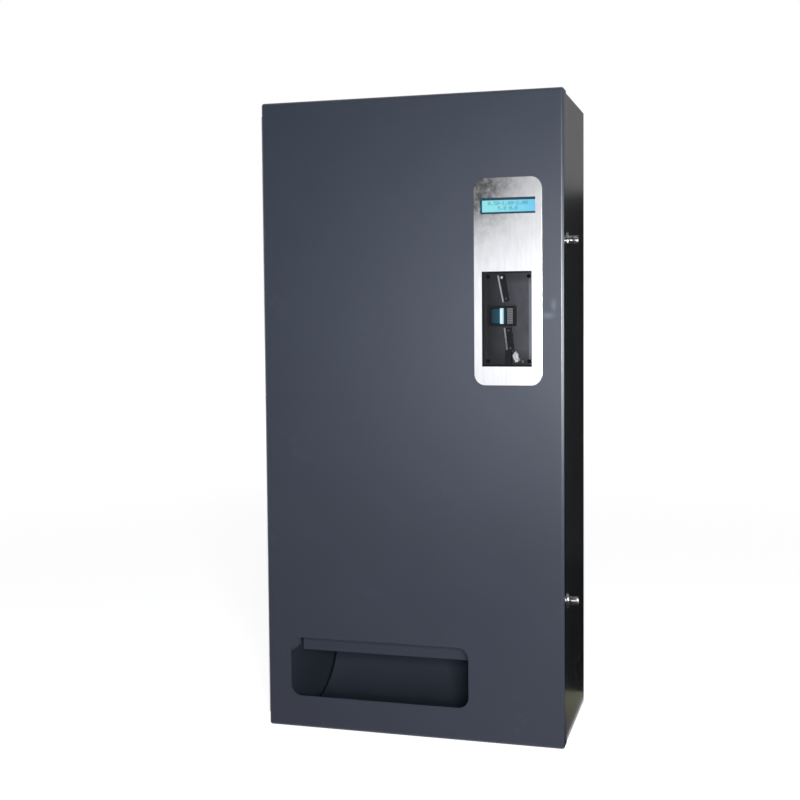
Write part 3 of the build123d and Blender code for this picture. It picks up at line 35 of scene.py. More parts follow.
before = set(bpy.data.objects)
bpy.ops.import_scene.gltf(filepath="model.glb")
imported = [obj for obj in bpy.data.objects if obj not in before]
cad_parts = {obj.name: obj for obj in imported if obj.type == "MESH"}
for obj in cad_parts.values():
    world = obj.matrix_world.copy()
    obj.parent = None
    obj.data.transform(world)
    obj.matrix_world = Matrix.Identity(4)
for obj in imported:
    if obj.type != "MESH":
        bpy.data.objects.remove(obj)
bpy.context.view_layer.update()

# Lengths are in metres. X runs to the right, Y to the back and Z up.

# Curve of the delivery scoop: depth and height of its centre, and its radius. The painted shade on
# the side plate lies behind it.
SCOOP_CURVE = (0.0080, 0.1460, 0.1342)

# Stop peg of the return lever: its place across and up, its reach, and the depth of its foot
STOP_PEG = (0.2067, 0.6937)
STOP_PEG_REACH = 0.0030
STOP_PEG_FOOT = -0.1355

# Painted highlights on the door, soft glints of light on its coat, each with its centre and size
# across and up
DOOR_GLINTS = (((0.2620, 0.7930), (0.0045, 0.0090)), ((0.2520, 0.7745), (0.0105, 0.0055)))

# Coin slot, whose glow is a painted highlight: its middle from the right edge of the entry lens,
# half its width in the coin head, half the width of its glow in the lens, and the depth where the
# glow ends
SLOT_INSET = 0.0073
SLOT_HALF = 0.0024
SLOT_LIGHT_HALF = 0.0031
SLOT_BACK = -0.1200

# Dark frame of the display inside its window: left, right, bottom and top
BEZEL = (0.0052, 0.0024, 0.0058, 0.0064)

# How far behind the display window its lit face may lie
LIT_DEPTH = 0.0080

# How far the digits lie behind the front of the display module
DIGIT_DEPTH = 0.0008

# Rows of the display, each with the height of its foot above the middle, in dots
DISPLAY_ROWS = (("0.50-1.00-2.00", 1.6), ("5.0 0.0", -8.6))

# Dots from one sign to the next, rows of dots in a sign, and half a dot's width in dot pitches
SIGN_STEP = 6
SIGN_HIGH = 7
DOT_HALF = 0.45

# Signs of the display, five dots wide, from the top row down
SIGN_DOTS = {
    "0": ("01110", "10001", "10011", "10101", "11001", "10001", "01110"),
    "1": ("00100", "01100", "00100", "00100", "00100", "00100", "01110"),
    "2": ("01110", "10001", "00001", "00010", "00100", "01000", "11111"),
    "5": ("11111", "10000", "11110", "00001", "00001", "10001", "01110"),
    ".": ("00000", "00000", "00000", "00000", "00000", "01100", "01100"),
    "-": ("00000", "00000", "00000", "11111", "00000", "00000", "00000"),
    " ": ("00000",) * SIGN_HIGH,
}

# Width of the photograph's frame, and the point that its camera pointed at, in pixels
PHOTO_WIDTH = 800.0
PHOTO_AIM = (379.7, 377.9)
SENSOR_WIDTH_MM = 36.0

# Where the two lamps point, and where the side lamp stands and its width and height
FRONT_LAMP_AIM = (0.0, -0.15, 0.60)
SIDE_LAMP_AIM = (0.2, 0.0, 0.6)
SIDE_LAMP_PLACE = (1.9, -0.9, 1.1)
SIDE_LAMP_SIZE = (0.5, 1.6)

# Side of the square floor, which is also how far the camera sees
FLOOR_SIDE = 60.0

# Height of the ground cards, just over the floor
GROUND = 0.002

# Square of the distance at which the floor's glow is half way to white, and the span of its rise.
# It starts 1 m from the machine and ends 5.2 m from it.
FLOOR_FADE = 14.0
FLOOR_FADE_SPAN = 26.0

# Turns of the cards round the machine
FLAT = (0.0, 0.0, 0.0)
UPRIGHT = (math.radians(90), 0.0, 0.0)
UPRIGHT_TURNED = (math.radians(90), 0.0, math.radians(60))

BLACK = (0.0, 0.0, 0.0)
WHITE = (1.0, 1.0, 1.0)


def colour_property(label, words, default):
    return bpy.props.FloatVectorProperty(
        name=label, description=words, subtype="COLOR", size=3, min=0.0, max=1.0, default=default
    )


def share_property(label, words, default):
    return bpy.props.FloatProperty(
        name=label, description=words, subtype="FACTOR", min=0.0, max=1.0, default=default
    )


def strength_property(label, words, most, default):
    return bpy.props.FloatProperty(
        name=label, description=words, min=0.0, max=most, default=default
    )


def length_property(label, words, least, most, default):
    return bpy.props.FloatProperty(
        name=label, description=words, subtype="DISTANCE", unit="LENGTH",
        min=least, max=most, default=default,
    )


def angle_property(label, words, degrees):
    return bpy.props.FloatProperty(
        name=label, description=words, subtype="ANGLE", unit="ROTATION",
        default=math.radians(degrees),
    )


def place_property(label, words, default):
    return bpy.props.FloatVectorProperty(
        name=label, description=words, subtype="TRANSLATION", unit="LENGTH", size=3,
        default=default,
    )


def power_property(label, words, default):
    return bpy.props.FloatProperty(
        name=label, description=words, unit="POWER", min=0.0, default=default
    )


class PaintSettings(bpy.types.PropertyGroup):
    cabinet: colour_property("Door", "Powder coat on the door and the tray", (0.043, 0.051, 0.070))
    # The body has the door's coat, painted darker and greyer: painted shade on the sides and top.
    body: colour_property("Body", "Duller coat on the sides and top", (0.0235, 0.0250, 0.0285))
    cash_box: colour_property("Cash box", "Stove enamel on the cash box", (0.045, 0.048, 0.052))
    drum: colour_property("Drum", "Grey paint on the drum", (0.200, 0.205, 0.210))
    roughness: share_property("Paint roughness", "How satin the powder coat is", 0.26)


class MetalSettings(bpy.types.PropertyGroup):
    stainless: colour_property("Fascia", "Brushed stainless steel", (0.680, 0.654, 0.606))
    guide: colour_property("Guide strips", "Worn strips on the coin guides", (0.170, 0.175, 0.182))
    zinc: colour_property("Inner sheets", "Zinc-coated sheet steel", (0.340, 0.355, 0.365))
    plated: colour_property("Plated steel", "Pins, nuts and axles", (0.580, 0.580, 0.570))
    chrome: colour_property("Chrome", "Collars and barrels of the locks", (0.600, 0.610, 0.620))
    brass: colour_property("Brass", "Lock plugs and drum bushes", (0.640, 0.470, 0.230))
    aluminium: colour_property("Aluminium", "Case of the power supply", (0.660, 0.660, 0.660))


class PlasticSettings(bpy.types.PropertyGroup):
    black: colour_property("Black plastic", "Coin panel, guides and head", (0.008, 0.008, 0.009))
    # Colour of the right of the coin panel: dust with a painted sheen; made brighter, also the
    # painted highlight along its right rim.
    dust_and_sheen: colour_property("Dust", "Haze on the right of the coin panel", (0.082, 0.084, 0.096))
    peg: colour_property("Stop peg", "Worn peg beside the lever", (0.120, 0.125, 0.110))
    tint: colour_property("Entry lens", "Tinted plastic round the slot", (0.003, 0.046, 0.072))
    # The coin slot has no lamp: its glow is a painted highlight.
    slot_glow: colour_property("Slot light", "Light in the coin slot", (0.640, 0.860, 0.960))
    slot_strength: strength_property("Slot light strength", "Strength of that light", 4.0, 0.92)
    button: colour_property("Button", "Reject button", (0.095, 0.098, 0.105))
    lever: colour_property("Lever", "Coin return lever", (0.480, 0.480, 0.500))
    gears: colour_property("Gears", "Moulded gears", (0.780, 0.780, 0.740))
    rubber: colour_property("Rubber", "Cable grommet", (0.018, 0.018, 0.018))
    board: colour_property("Circuit board", "Lacquer of the board", (0.012, 0.120, 0.045))
    board_parts: colour_property("Board parts", "Parts on the board", (0.030, 0.032, 0.040))


class DisplaySettings(bpy.types.PropertyGroup):
    lit_left: colour_property("Lit face, left", "Back light at the left", (0.340, 0.920, 0.950))
    lit_right: colour_property("Lit face, right", "Back light at the right", (0.170, 0.660, 1.000))
    bezel: colour_property("Bezel", "Dark frame round the lit face", (0.006, 0.055, 0.105))
    window: colour_property("Window", "Clear window over the display", (0.020, 0.050, 0.060))
    ink: colour_property("Digits", "Dots of the digits", (0.015, 0.120, 0.220))
    dot: length_property("Dot pitch", "Distance between two dots", 0.0002, 0.002, 0.00085)
    glow: strength_property("Back light", "Strength of the back light", 4.0, 1.03)


class StudioSettings(bpy.types.PropertyGroup):
    camera_place: place_property("Camera", "Where the camera stands", (0.5884, -2.3729, 0.7940))
    yaw: angle_property("Camera turn", "Turn to the left of straight ahead", 16.168)
    pitch: angle_property("Camera dip", "Dip below level", 3.236)
    roll: angle_property("Camera roll", "Turn about the line of sight", -0.542)
    lens: bpy.props.FloatProperty(
        name="Lens", description="Focal length on a 36 mm wide frame", unit="CAMERA", default=57.2
    )
    floor: colour_property("Floor", "Plain pale floor", (0.800, 0.800, 0.800))
    floor_lift: strength_property("Floor lift", "Glow of the near floor as it is seen", 1.0, 0.84)
    lamp_place: place_property("Front lamp", "Lamp beside the camera", (0.740, -2.400, 0.790))
    lamp_size: length_property("Front lamp size", "Width and height of it", 0.01, 4.0, 0.45)
    lamp_power: power_property("Front lamp power", "Lamp beside the camera", 50.0)
    lamp_colour: colour_property("Front lamp colour", "Slightly cool white", (0.930, 0.970, 1.000))
    side_power: power_property("Side lamp power", "Large soft lamp at the right", 1.2)
    glow_place: place_property("Bright wall", "Middle of it, in front", (-0.120, -2.600, 0.700))
    glow_reach: length_property("Bright wall reach", "How soon it fades", 0.01, 10.0, 0.640)
    glow: strength_property("Bright wall strength", "Brightest part of it", 3.0, 2.12)
    glow_colour: colour_property("Bright wall colour", "Cool white", (0.835, 0.880, 1.000))
    edge_glow: strength_property("Edge light", "Panel that the bent edges mirror", 20.0, 14.0)
    edge_height: length_property("Edge light height", "Its brightest part", 0.0, 3.0, 0.700)
    far_wall: share_property("Far wall", "Grey wall behind, for the right side", 0.33)
    dark_wall: colour_property("Dark wall", "Wall in front", (0.0080, 0.0085, 0.0090))
    low_wall: colour_property("Low wall", "Foot of the wall behind", (0.0060, 0.0068, 0.0072))
    dark_ground: colour_property("Dark ground", "Ground behind", (0.0010, 0.0013, 0.0015))
    fill: strength_property("Fill", "Strength of the light from all round", 2.0, 0.14)
    fill_colour: colour_property("Fill colour", "Light from all round", (0.800, 0.800, 0.800))


class Value:
    """A number that changes over a surface. Sums and products of it add Math nodes."""

    def __init__(self, tree, socket):
        self.tree = tree
        self.socket = socket

    def __add__(self, other):
        return self.tree.maths("ADD", self, other)

    def __sub__(self, other):
        return self.tree.maths("SUBTRACT", self, other)

    def __rsub__(self, other):
        return self.tree.maths("SUBTRACT", other, self)

    def __mul__(self, other):
        return self.tree.maths("MULTIPLY", self, other)

    def __truediv__(self, other):
        return self.tree.maths("DIVIDE", self, other)

    __radd__ = __add__
    __rmul__ = __mul__

    def above(self, level, softness):
        """1 where this is above the level and 0 below it, with a ramp as wide as the softness."""
        return self.tree.maths("ADD", (self - level) / softness, 0.5, clamp=True)

    def below(self, level, softness):
        return 1.0 - self.above(level, softness)

    def between(self, low, high, softness):
        return self.above(low, softness) * self.below(high, softness)


class Tree:
    """The nodes of a material or of the world."""

    def __init__(self, owner):
        owner.use_nodes = True
        self.nodes = owner.node_tree.nodes
        self.links = owner.node_tree.links

    def feed(self, socket, value):
        if isinstance(value, Value):
            self.links.new(value.socket, socket)
        elif socket.type == "RGBA" and len(value) == 3:
            socket.default_value = (*value, 1.0)
        else:
            socket.default_value = value

    def node(self, kind, settings=None, inputs=None, output=0):
        item = self.nodes.new(kind)
        for name, setting in (settings or {}).items():
            setattr(item, name, setting)
        for name, value in (inputs or {}).items():
            self.feed(item.inputs[name], value)
        return Value(self, item.outputs[output])

    def maths(self, operation, first, second=0.0, clamp=False):
        settings = {"operation": operation, "use_clamp": clamp}
        return self.node("ShaderNodeMath", settings, {0: first, 1: second})

    def seen(self):
        """1 for what the camera, a mirror or glass sees."""
        total = 0.0
        for kind in ("Is Camera Ray", "Is Glossy Ray", "Is Transmission Ray"):
            total = self.maths("MAXIMUM", self.node("ShaderNodeLightPath", output=kind), total)
        return total

    def show(self, shader):
        """Puts that shader in place of the one that Blender made."""
        output = next(item for item in self.nodes if item.type.startswith("OUTPUT_"))
        self.nodes.remove(output.inputs["Surface"].links[0].from_node)
        self.links.new(shader.socket, output.inputs["Surface"])


class Finish(Tree):
    """A material with its shader, and the nodes that vary it over the surface."""

    def __init__(self, name, constants):
        self.material = bpy.data.materials.new(name)
        super().__init__(self.material)
        self.shader = self.nodes["Principled BSDF"]
        for socket, value in constants.items():
            self.set(socket, value)
        self.place = self.node("ShaderNodeTexCoord", output="Object")

    def set(self, socket, value):
        self.feed(self.shader.inputs[socket], value)

    def axis(self, name):
        return self.node("ShaderNodeSeparateXYZ", None, {0: self.place}, name)

    def nearness(self, centre, reach, axes="XZ"):
        """1 at the centre, falling softly to 0 a reach or two away from it."""
        total = None
        for name, middle, size in zip(axes, centre, reach):
            part = (self.axis(name) - middle) / size
            total = part * part if total is None else total + part * part
        return self.maths("POWER", math.exp(-1.0), total)

    def noise(self, scale, detail=2.0, roughness=0.5, stretch=None):
        """Cloudy pattern. Its scale, or its stretch on each axis, is about how many to a metre."""
        where = self.place
        if stretch:
            where = self.node("ShaderNodeMapping", None, {"Vector": where, "Scale": stretch})
        inputs = {"Vector": where, "Scale": scale, "Detail": detail, "Roughness": roughness}
        return self.node("ShaderNodeTexNoise", None, inputs)

    def mix(self, mask, first, second):
        return self.node("ShaderNodeMix", {"data_type": "RGBA"}, {0: mask, 6: first, 7: second}, 2)

    def bump(self, height, distance, strength=1.0):
        inputs = {"Height": height, "Distance": distance, "Strength": strength}
        self.set("Normal", self.node("ShaderNodeBump", None, inputs))


def shade(colour, factor):
    return tuple(min(1.0, part * factor) for part in colour)


def dress(material, *names):
    """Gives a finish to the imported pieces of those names."""
    for name in names:
        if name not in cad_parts:
            raise RuntimeError(f"the frame has no piece named {name}")
        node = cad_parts[name]
        if not node.material_slots:
            node.data.materials.append(material)
        for place in node.material_slots:
            place.material = material


def powder_coat(name, colour, roughness, patches=()):
    """Satin powder coat. A patch is a mask and the factor of the coat's colour there."""
    finish = Finish(name, {"Specular IOR Level": 0.55})
    smudge = finish.noise(7.0, 3.0, 0.6)
    grain = finish.noise(900.0, 2.0, 0.6)
    peel = finish.noise(260.0, 1.0)
    coat = finish.mix(smudge * 0.7 + grain * 0.3, shade(colour, 0.94), shade(colour, 1.07))
    for mask, factor in patches:
        coat = finish.mix(mask(finish), coat, shade(colour, factor))
    finish.set("Base Color", coat)
    finish.set("Roughness", smudge * 0.06 + grain * 0.03 + (roughness - 0.045))
    finish.bump(peel * 0.8 + grain * 0.2, 0.00010, 0.22)
    return finish.material


def painted_glint(centre, reach):
    """Mask of a small painted highlight on the door."""
    def mask(finish):
        grain = finish.noise(900.0, 2.0, 0.6)
        return (finish.nearness(centre, reach) * 1.6 * grain).above(0.45, 0.90)
    return mask


def door_rim_shade(finish):
    """1 on the outer face of the door's right rim, behind its bend, where painted shade darkens the
    coat.
    """
    low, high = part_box("door_panel")
    skin, bend = 0.0010, 0.0070
    outer_face = finish.axis("X").above(high.x - skin, 0.0006)
    return outer_face * finish.axis("Y").above(low.y + bend, 0.002)


def front_edge_highlight(finish):
    """1 along the front edge of the cabinet's sides, where a painted highlight lightens the coat.
    """
    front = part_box("cabinet_right_side")[0].y
    band = 0.028
    return finish.axis("Y").below(front + band, 0.016)


def tray_lip_highlight(finish):
    """1 on the front upper corner of the side plate, in front of the guard, where a painted
    highlight lightens the coat.
    """
    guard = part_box("tray_guard")[0]
    up, ahead = 0.012, 0.003
    corner = finish.axis("Z").above(guard.z + up, 0.005)
    return corner * finish.axis("Y").below(guard.y - ahead, 0.004)


def scoop_gap_shade(finish):
    """1 on the side plate behind the curve of the delivery scoop, where painted shade darkens the
    gap beside the scoop.
    """
    centre_y, centre_z, radius = SCOOP_CURVE
    back = finish.maths("MAXIMUM", finish.axis("Y") - centre_y, 0.0)
    down = finish.maths("MAXIMUM", centre_z - finish.axis("Z"), 0.0)
    return (back * back + down * down).above(radius * radius, 0.0002)


def zinc_sheet(name, colour):
    """Zinc-coated sheet with its spangle."""
    finish = Finish(name, {"Metallic": 0.70})
    pattern = {"Vector": finish.place, "Scale": 70.0}
    cells = finish.node("ShaderNodeTexVoronoi", None, pattern, "Color")
    spangle = finish.node("ShaderNodeRGBToBW", None, {0: cells})
    cloud = finish.noise(9.0, 4.0, 0.6)
    grain = finish.noise(1200.0, 1.0)
    tone_mask = spangle * 0.7 + cloud * 0.3
    finish.set("Base Color", finish.mix(tone_mask, shade(colour, 0.82), shade(colour, 1.12)))
    finish.set("Roughness", spangle * 0.12 + cloud * 0.16 + 0.38)
    finish.bump(grain, 0.00003, 0.3)
    return finish.material


def brushed_steel(name, colour, stretch, roughness, darker_place):
    """Steel brushed along its least stretched axis, darker in one blotchy patch, given by a place,
    its size and its factor.
    """
    finish = Finish(name, {"Metallic": 1.0})
    lines = finish.noise(1.0, 4.0, 0.7, stretch)
    smears = finish.noise(1.0, 4.0, 0.65, (150.0, 60.0, 24.0))
    cloud = finish.noise(22.0, 4.0, 0.65)
    sheen = lines * 0.3 + smears * 0.4 + cloud * 0.3
    metal = finish.mix(sheen, shade(colour, 0.72), shade(colour, 1.24))
    centre, size, factor = darker_place
    blotch = finish.noise(75.0, 4.0, 0.7) * 1.7 + 0.10
    tone_mask = finish.maths("MULTIPLY", finish.nearness(centre, size), blotch, clamp=True)
    finish.set("Base Color", finish.mix(tone_mask, metal, shade(colour, factor)))
    finish.set("Roughness", lines * 0.06 + cloud * 0.10 + roughness)
    finish.bump(lines, 0.00003, 0.4)
    return finish.material


def turned_metal(name, colour, roughness, tarnish_and_reflection=0.15):
    """Metal turned on a lathe, with rings across it and darker patches: tarnish, and on the chrome
    of the locks a painted dark reflection between bright glints.
    """
    finish = Finish(name, {"Metallic": 1.0})
    rings = finish.noise(1.0, 3.0, 0.6, (2600.0, 300.0, 300.0))
    smudge = finish.noise(160.0, 3.0, 0.6)
    patches = (smudge * 0.4 + finish.noise(420.0, 2.0, 0.6) * 0.6).above(0.50, 0.22)
    metal = finish.mix(patches, shade(colour, 1.0 - tarnish_and_reflection), shade(colour, 1.08))
    finish.set("Base Color", metal)
    finish.set("Roughness", smudge * 0.12 + rings * 0.06 + (roughness - 0.07))
    finish.bump(rings, 0.00002, 0.35)
    return finish.material


def moulded(name, colour, roughness, specular=0.5):
    """Moulded plastic or rubber with a fine grain."""
    finish = Finish(name, {"Specular IOR Level": specular})
    grain = finish.noise(1500.0, 2.0, 0.6)
    cloud = finish.noise(30.0, 3.0, 0.6)
    finish.set("Base Color", finish.mix(cloud, shade(colour, 0.85), shade(colour, 1.18)))
    finish.set("Roughness", cloud * 0.14 + grain * 0.08 + (roughness - 0.10))
    finish.bump(grain, 0.00006, 0.35)
    return finish.material


def grooved(name, colour, piece, roughness):
    """Moulded plastic of a piece whose grooves and sides, behind its front face, are darkened with
    painted shade.
    """
    finish = Finish(name, {"Specular IOR Level": 0.4})
    grain = finish.noise(1100.0, 2.0, 0.6)
    cloud = finish.noise(140.0, 3.0, 0.6)
    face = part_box(piece)[0].y
    groove_shade = finish.axis("Y").above(face + 0.0005, 0.0003)
    top = finish.mix(cloud, shade(colour, 0.80), shade(colour, 1.25))
    finish.set("Base Color", finish.mix(groove_shade * 0.75, top, shade(colour, 0.30)))
    finish.set("Roughness", cloud * 0.14 + (roughness - 0.07))
    finish.bump(grain, 0.00006, 0.35)
    return finish.material


def panel_screws(black, bright):
    """Black corner screws, and small steel screws on the raised guides, the upper ones bright."""
    finish = Finish("black_screws", {"Specular IOR Level": 0.05})
    guide_low, guide_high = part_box("upper_coin_guide")
    raised = finish.axis("Y").below(guide_low.y + 0.0006, 0.0004)
    upper = finish.axis("Z").above(guide_high.z - 0.014, 0.002)
    tone_mask = finish.noise(900.0, 2.0)
    scratched = finish.mix(tone_mask, shade(bright, 0.25), shade(bright, 0.85))
    steel = finish.mix(upper, shade(bright, 0.07), scratched)
    finish.set("Base Color", finish.mix(raised, shade(black, 0.3), steel))
    finish.set("Metallic", raised)
    finish.set("Roughness", tone_mask * 0.2 + 0.26)
    return finish.material


def recess_black(plastic):
    """Black coin panel, paler towards the right with dust and a painted sheen, with a painted
    highlight along its right rim, painted shade along its top and bottom, and a worn stop peg.
    """
    low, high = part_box("coin_panel")
    middle_x = (low.x + high.x) / 2
    finish = Finish("recess_black", {"Specular IOR Level": 0.13})
    across, up = finish.axis("X"), finish.axis("Z")
    grain = finish.noise(1500.0, 2.0, 0.6)
    cloud = finish.noise(1.0, 4.0, 0.65, (60.0, 60.0, 26.0))

    # Paler towards the right: dust with a painted sheen of light on the black plastic.
    dust_sheen_mask = across.above(middle_x + 0.006, 0.085) * (cloud * 0.9 + 0.45)
    clear_foot, clear_head = 0.030, 0.026
    dust_sheen_mask = dust_sheen_mask * (up.above(low.z + clear_foot, 0.022) * 0.7 + 0.3)
    dust_sheen_mask = dust_sheen_mask * (1.0 - 0.5 * up.above(high.z - clear_head, 0.012))
    wall = finish.mix(dust_sheen_mask, plastic.black, plastic.dust_and_sheen)

    # Painted highlight along the right rim of the coin panel.
    rim, rim_end = 0.0170, 0.020
    lit_rim = across.above(high.x - rim, 0.0030)
    lit_rim = lit_rim * up.between(low.z + rim_end, high.z - rim_end, 0.03)
    wall = finish.mix(lit_rim * 0.8, wall, shade(plastic.dust_and_sheen, 3.0))

    # Painted shade along the top and bottom of the coin panel, under the edges of the window.
    shade_foot, shade_head = 0.0134, 0.0126
    clear_of_edge_shade = up.between(low.z + shade_foot, high.z - shade_head, 0.0014)
    wall = finish.mix(clear_of_edge_shade, shade(plastic.black, 0.2), wall)

    peg = finish.nearness(STOP_PEG, (STOP_PEG_REACH, STOP_PEG_REACH)).above(0.45, 0.10)
    peg = peg * finish.axis("Y").below(STOP_PEG_FOOT, 0.0004)
    finish.set("Base Color", finish.mix(peg, wall, plastic.peg))
    finish.set("Roughness", cloud * 0.12 + grain * 0.06 + 0.28)
    finish.bump(grain, 0.00006, 0.3)
    return finish.material


def painted_slot_glow(plastic):
    """Black coin head and validator, with a painted highlight: a glow along the coin slot inside.
    """
    low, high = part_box("coin_entry_lens")
    slot_x = high.x - SLOT_INSET
    finish = Finish("painted_slot_glow", {"Roughness": 0.36, "Specular IOR Level": 0.10})
    finish.set("Base Color", shade(plastic.black, 0.7))
    beam = finish.axis("X").between(slot_x - SLOT_HALF, slot_x + SLOT_HALF, 0.0004)
    beam = beam * finish.axis("Z").between(low.z, high.z, 0.0004)
    beam = beam * finish.axis("Y").below(SLOT_BACK, 0.001)
    finish.set("Emission Color", finish.mix(beam, BLACK, plastic.slot_glow))
    finish.set("Emission Strength", plastic.slot_strength)
    return finish.material


def entry_tint(plastic):
    """Tinted entry lens, paler from its left edge to the coin slot and darker beyond it, with a
    painted highlight: a glow along the slot.
    """
    low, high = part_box("coin_entry_lens")
    slot_x = high.x - SLOT_INSET
    finish = Finish("entry_tint", {"Roughness": 0.12, "Specular IOR Level": 0.18})
    across = finish.axis("X")
    dark_left, slot_frame = 0.0070, 0.0036
    cloud = finish.noise(1.0, 3.0, 0.6, (260.0, 100.0, 60.0)) * 0.9 + 0.45
    cloud = cloud * across.above(low.x + dark_left, 0.0120)
    cloud = cloud * (1.0 - 0.7 * across.above(slot_x + slot_frame, 0.0010))
    glow = across.between(slot_x - SLOT_LIGHT_HALF, slot_x + SLOT_LIGHT_HALF, 0.0012)
    tint = finish.mix(cloud, shade(plastic.tint, 0.20), shade(plastic.tint, 1.20))
    finish.set("Base Color", tint)
    finish.set("Emission Color", finish.mix(glow, BLACK, plastic.slot_glow))
    finish.set("Emission Strength", plastic.slot_strength)
    return finish.material


def display_screen(display):
    """Lit face of the display in its dark frame, bluer towards the right."""
    low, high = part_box("display_lens")
    left, right, bottom, top = BEZEL
    finish = Finish("display_screen", {"Roughness": 0.35, "Specular IOR Level": 0.3})
    across = finish.axis("X")
    lit = across.between(low.x + left, high.x - right, 0.0010)
    lit = lit * finish.axis("Z").between(low.z + bottom, high.z - top, 0.0010)
    lit = lit * finish.axis("Y").between(high.y, high.y + LIT_DEPTH, 0.0004)
    sweep_x = (low.x + high.x) / 2 + 0.012
    sweep = across.above(sweep_x, 0.8 * (high.x - low.x))
    sweep = sweep + (finish.noise(60.0, 2.0) - 0.5) * 0.5
    light = finish.mix(sweep.above(0.5, 1.0), display.lit_left, display.lit_right)
    finish.set("Base Color", finish.mix(lit, display.bezel, shade(display.bezel, 0.5)))
    finish.set("Emission Color", finish.mix(lit, BLACK, light))
    finish.set("Emission Strength", display.glow)
    return finish.material


def display_glass(display):
    """Clear window over the display."""
    constants = {"Roughness": 0.05, "IOR": 1.45, "Specular IOR Level": 0.4}
    finish = Finish("display_glass", {"Base Color": display.window, "Alpha": 0.12, **constants})
    finish.material.surface_render_method = "BLENDED"
    return finish.material


def board_green(plastic):
    """Lacquered board with its tracks at the back, and its dark parts in front."""
    board_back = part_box("controller_board")[1].y
    board_thick = 0.0019
    finish = Finish("board_green", {"Roughness": 0.35})
    parts = finish.axis("Y").below(board_back - board_thick, 0.0002)
    tracks = finish.noise(260.0, 0.0, 0.5, (1.0, 1.0, 0.25)).between(0.47, 0.53, 0.01)
    lacquer = finish.mix(tracks, plastic.board, shade(plastic.board, 1.7))
    finish.set("Base Color", finish.mix(parts, lacquer, plastic.board_parts))
    return finish.material


def lit_dots(text):
    """Column and row of each dot of a line of signs, from its upper left corner."""
    for place, sign in enumerate(text):
        for row, dots in enumerate(SIGN_DOTS[sign]):
            for column, dot in enumerate(dots):
                if dot == "1":
                    yield SIGN_STEP * place + column, row


def add_piece(name, mesh, body, material):
    piece = bpy.data.objects.new(name, mesh)
    bpy.context.scene.collection.objects.link(piece)
    piece.data.materials.append(material)
    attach(piece, body)
    return piece


class UMBRELLA_OT_paint(bpy.types.Operator):
    """Powder coat on the door, the cabinet's sides and top, and the tray"""

    bl_idname = "umbrella.paint"
    bl_label = "Cabinet paint"

    def execute(self, context):
        paint = context.scene.umbrella_paint
        # Small painted highlights on the door's coat, lighter than the coat round them.
        glints = [(painted_glint(*place), 2.6) for place in DOOR_GLINTS]
        coats = (
            ("cabinet_paint", paint.cabinet, (), ("delivery_scoop", "tray_guard")),
            # Sides and top: a darker coat as painted shade, and a painted highlight along their
            # front edge.
            ("body_paint", paint.body, [(front_edge_highlight, 2.6)],
             ("cabinet_left_side", "cabinet_right_side", "cabinet_top")),
            # Door: painted highlights on its coat, and painted shade on its right rim.
            ("door_paint", paint.cabinet, [*glints, (door_rim_shade, 0.3)], ("door_panel",)),
            # Side plates: a painted highlight on their front upper corner, and painted shade behind
            # the scoop.
            ("tray_paint", paint.cabinet, [(tray_lip_highlight, 2.4), (scoop_gap_shade, 0.05)],
             ("magazine_left_plate", "magazine_right_plate")),
        )
        for name, colour, patches, pieces in coats:
            dress(powder_coat(name, colour, paint.roughness, patches), *pieces)
        return {"FINISHED"}


class UMBRELLA_OT_inner_sheets(bpy.types.Operator):
    """Zinc-coated sheets, hinge leaves and brackets inside the cabinet"""

    bl_idname = "umbrella.inner_sheets"
    bl_label = "Inner sheets"

    def execute(self, context):
        zinc = zinc_sheet("zinc_sheet", context.scene.umbrella_metal.zinc)
        dress(zinc, "cabinet_back", "cabinet_bottom", "wall_plates")
        dress(zinc, "magazine_cover", "hopper_plates")
        dress(zinc, "ramp_1", "ramp_2", "ramp_3", "ramp_4", "ramp_5")
        dress(zinc, "motor_bracket", "cash_shelf", "coin_chute", "door_stiffeners", "door_catches")
        dress(zinc, "hinge_cabinet_leaf", "hinge_door_leaf")
        return {"FINISHED"}


class UMBRELLA_OT_fascia(bpy.types.Operator):
    """Brushed stainless fascia and the worn strips beside the coin guides"""

    bl_idname = "umbrella.fascia"
    bl_label = "Fascia"

    def execute(self, context):
        metal = context.scene.umbrella_metal
        low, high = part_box("fascia_plate")
        dark_corner = ((low.x + 0.006, high.z - 0.010), (0.066, 0.078), 0.17)
        upright = (1400.0, 40.0, 26.0)
        steel = brushed_steel("brushed_steel", metal.stainless, upright, 0.10, dark_corner)
        dress(steel, "fascia_plate")
        low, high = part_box("lower_coin_guide")
        dark_strip = ((low.x, (low.z + high.z) / 2), (0.030, 0.034), 0.50)
        coarse = (300.0, 300.0, 60.0)
        strips = brushed_steel("guide_steel", metal.guide, coarse, 0.28, dark_strip)
        dress(strips, "coin_guide_strips")
        return {"FINISHED"}


class UMBRELLA_OT_fixings(bpy.types.Operator):
    """Locks, hinge pin, nuts, axles, bushes and screws"""

    bl_idname = "umbrella.fixings"
    bl_label = "Locks and fixings"

    def execute(self, context):
        metal = context.scene.umbrella_metal
        # Lock chrome: mostly dark with bright patches, a painted reflection of dark surroundings
        # with painted glints.
        chrome = turned_metal("lock_chrome", metal.chrome, 0.16, tarnish_and_reflection=0.90)
        dress(chrome, "lock_collars", "lock_barrels")
        brass = turned_metal("lock_brass", metal.brass, 0.26)
        dress(brass, "upper_lock_plug", "lower_lock_plug", "drum_bushes")
        plated = turned_metal("bright_steel", metal.plated, 0.32)
        dress(plated, "hinge_pin", "drum_axles", "fascia_nuts", "board_standoffs")
        dress(plated, "upper_lock_cam", "lower_lock_cam", "lock_nuts")
        screws = panel_screws(context.scene.umbrella_plastic.black, metal.plated)
        dress(screws, "coin_panel_screws")
        return {"FINISHED"}


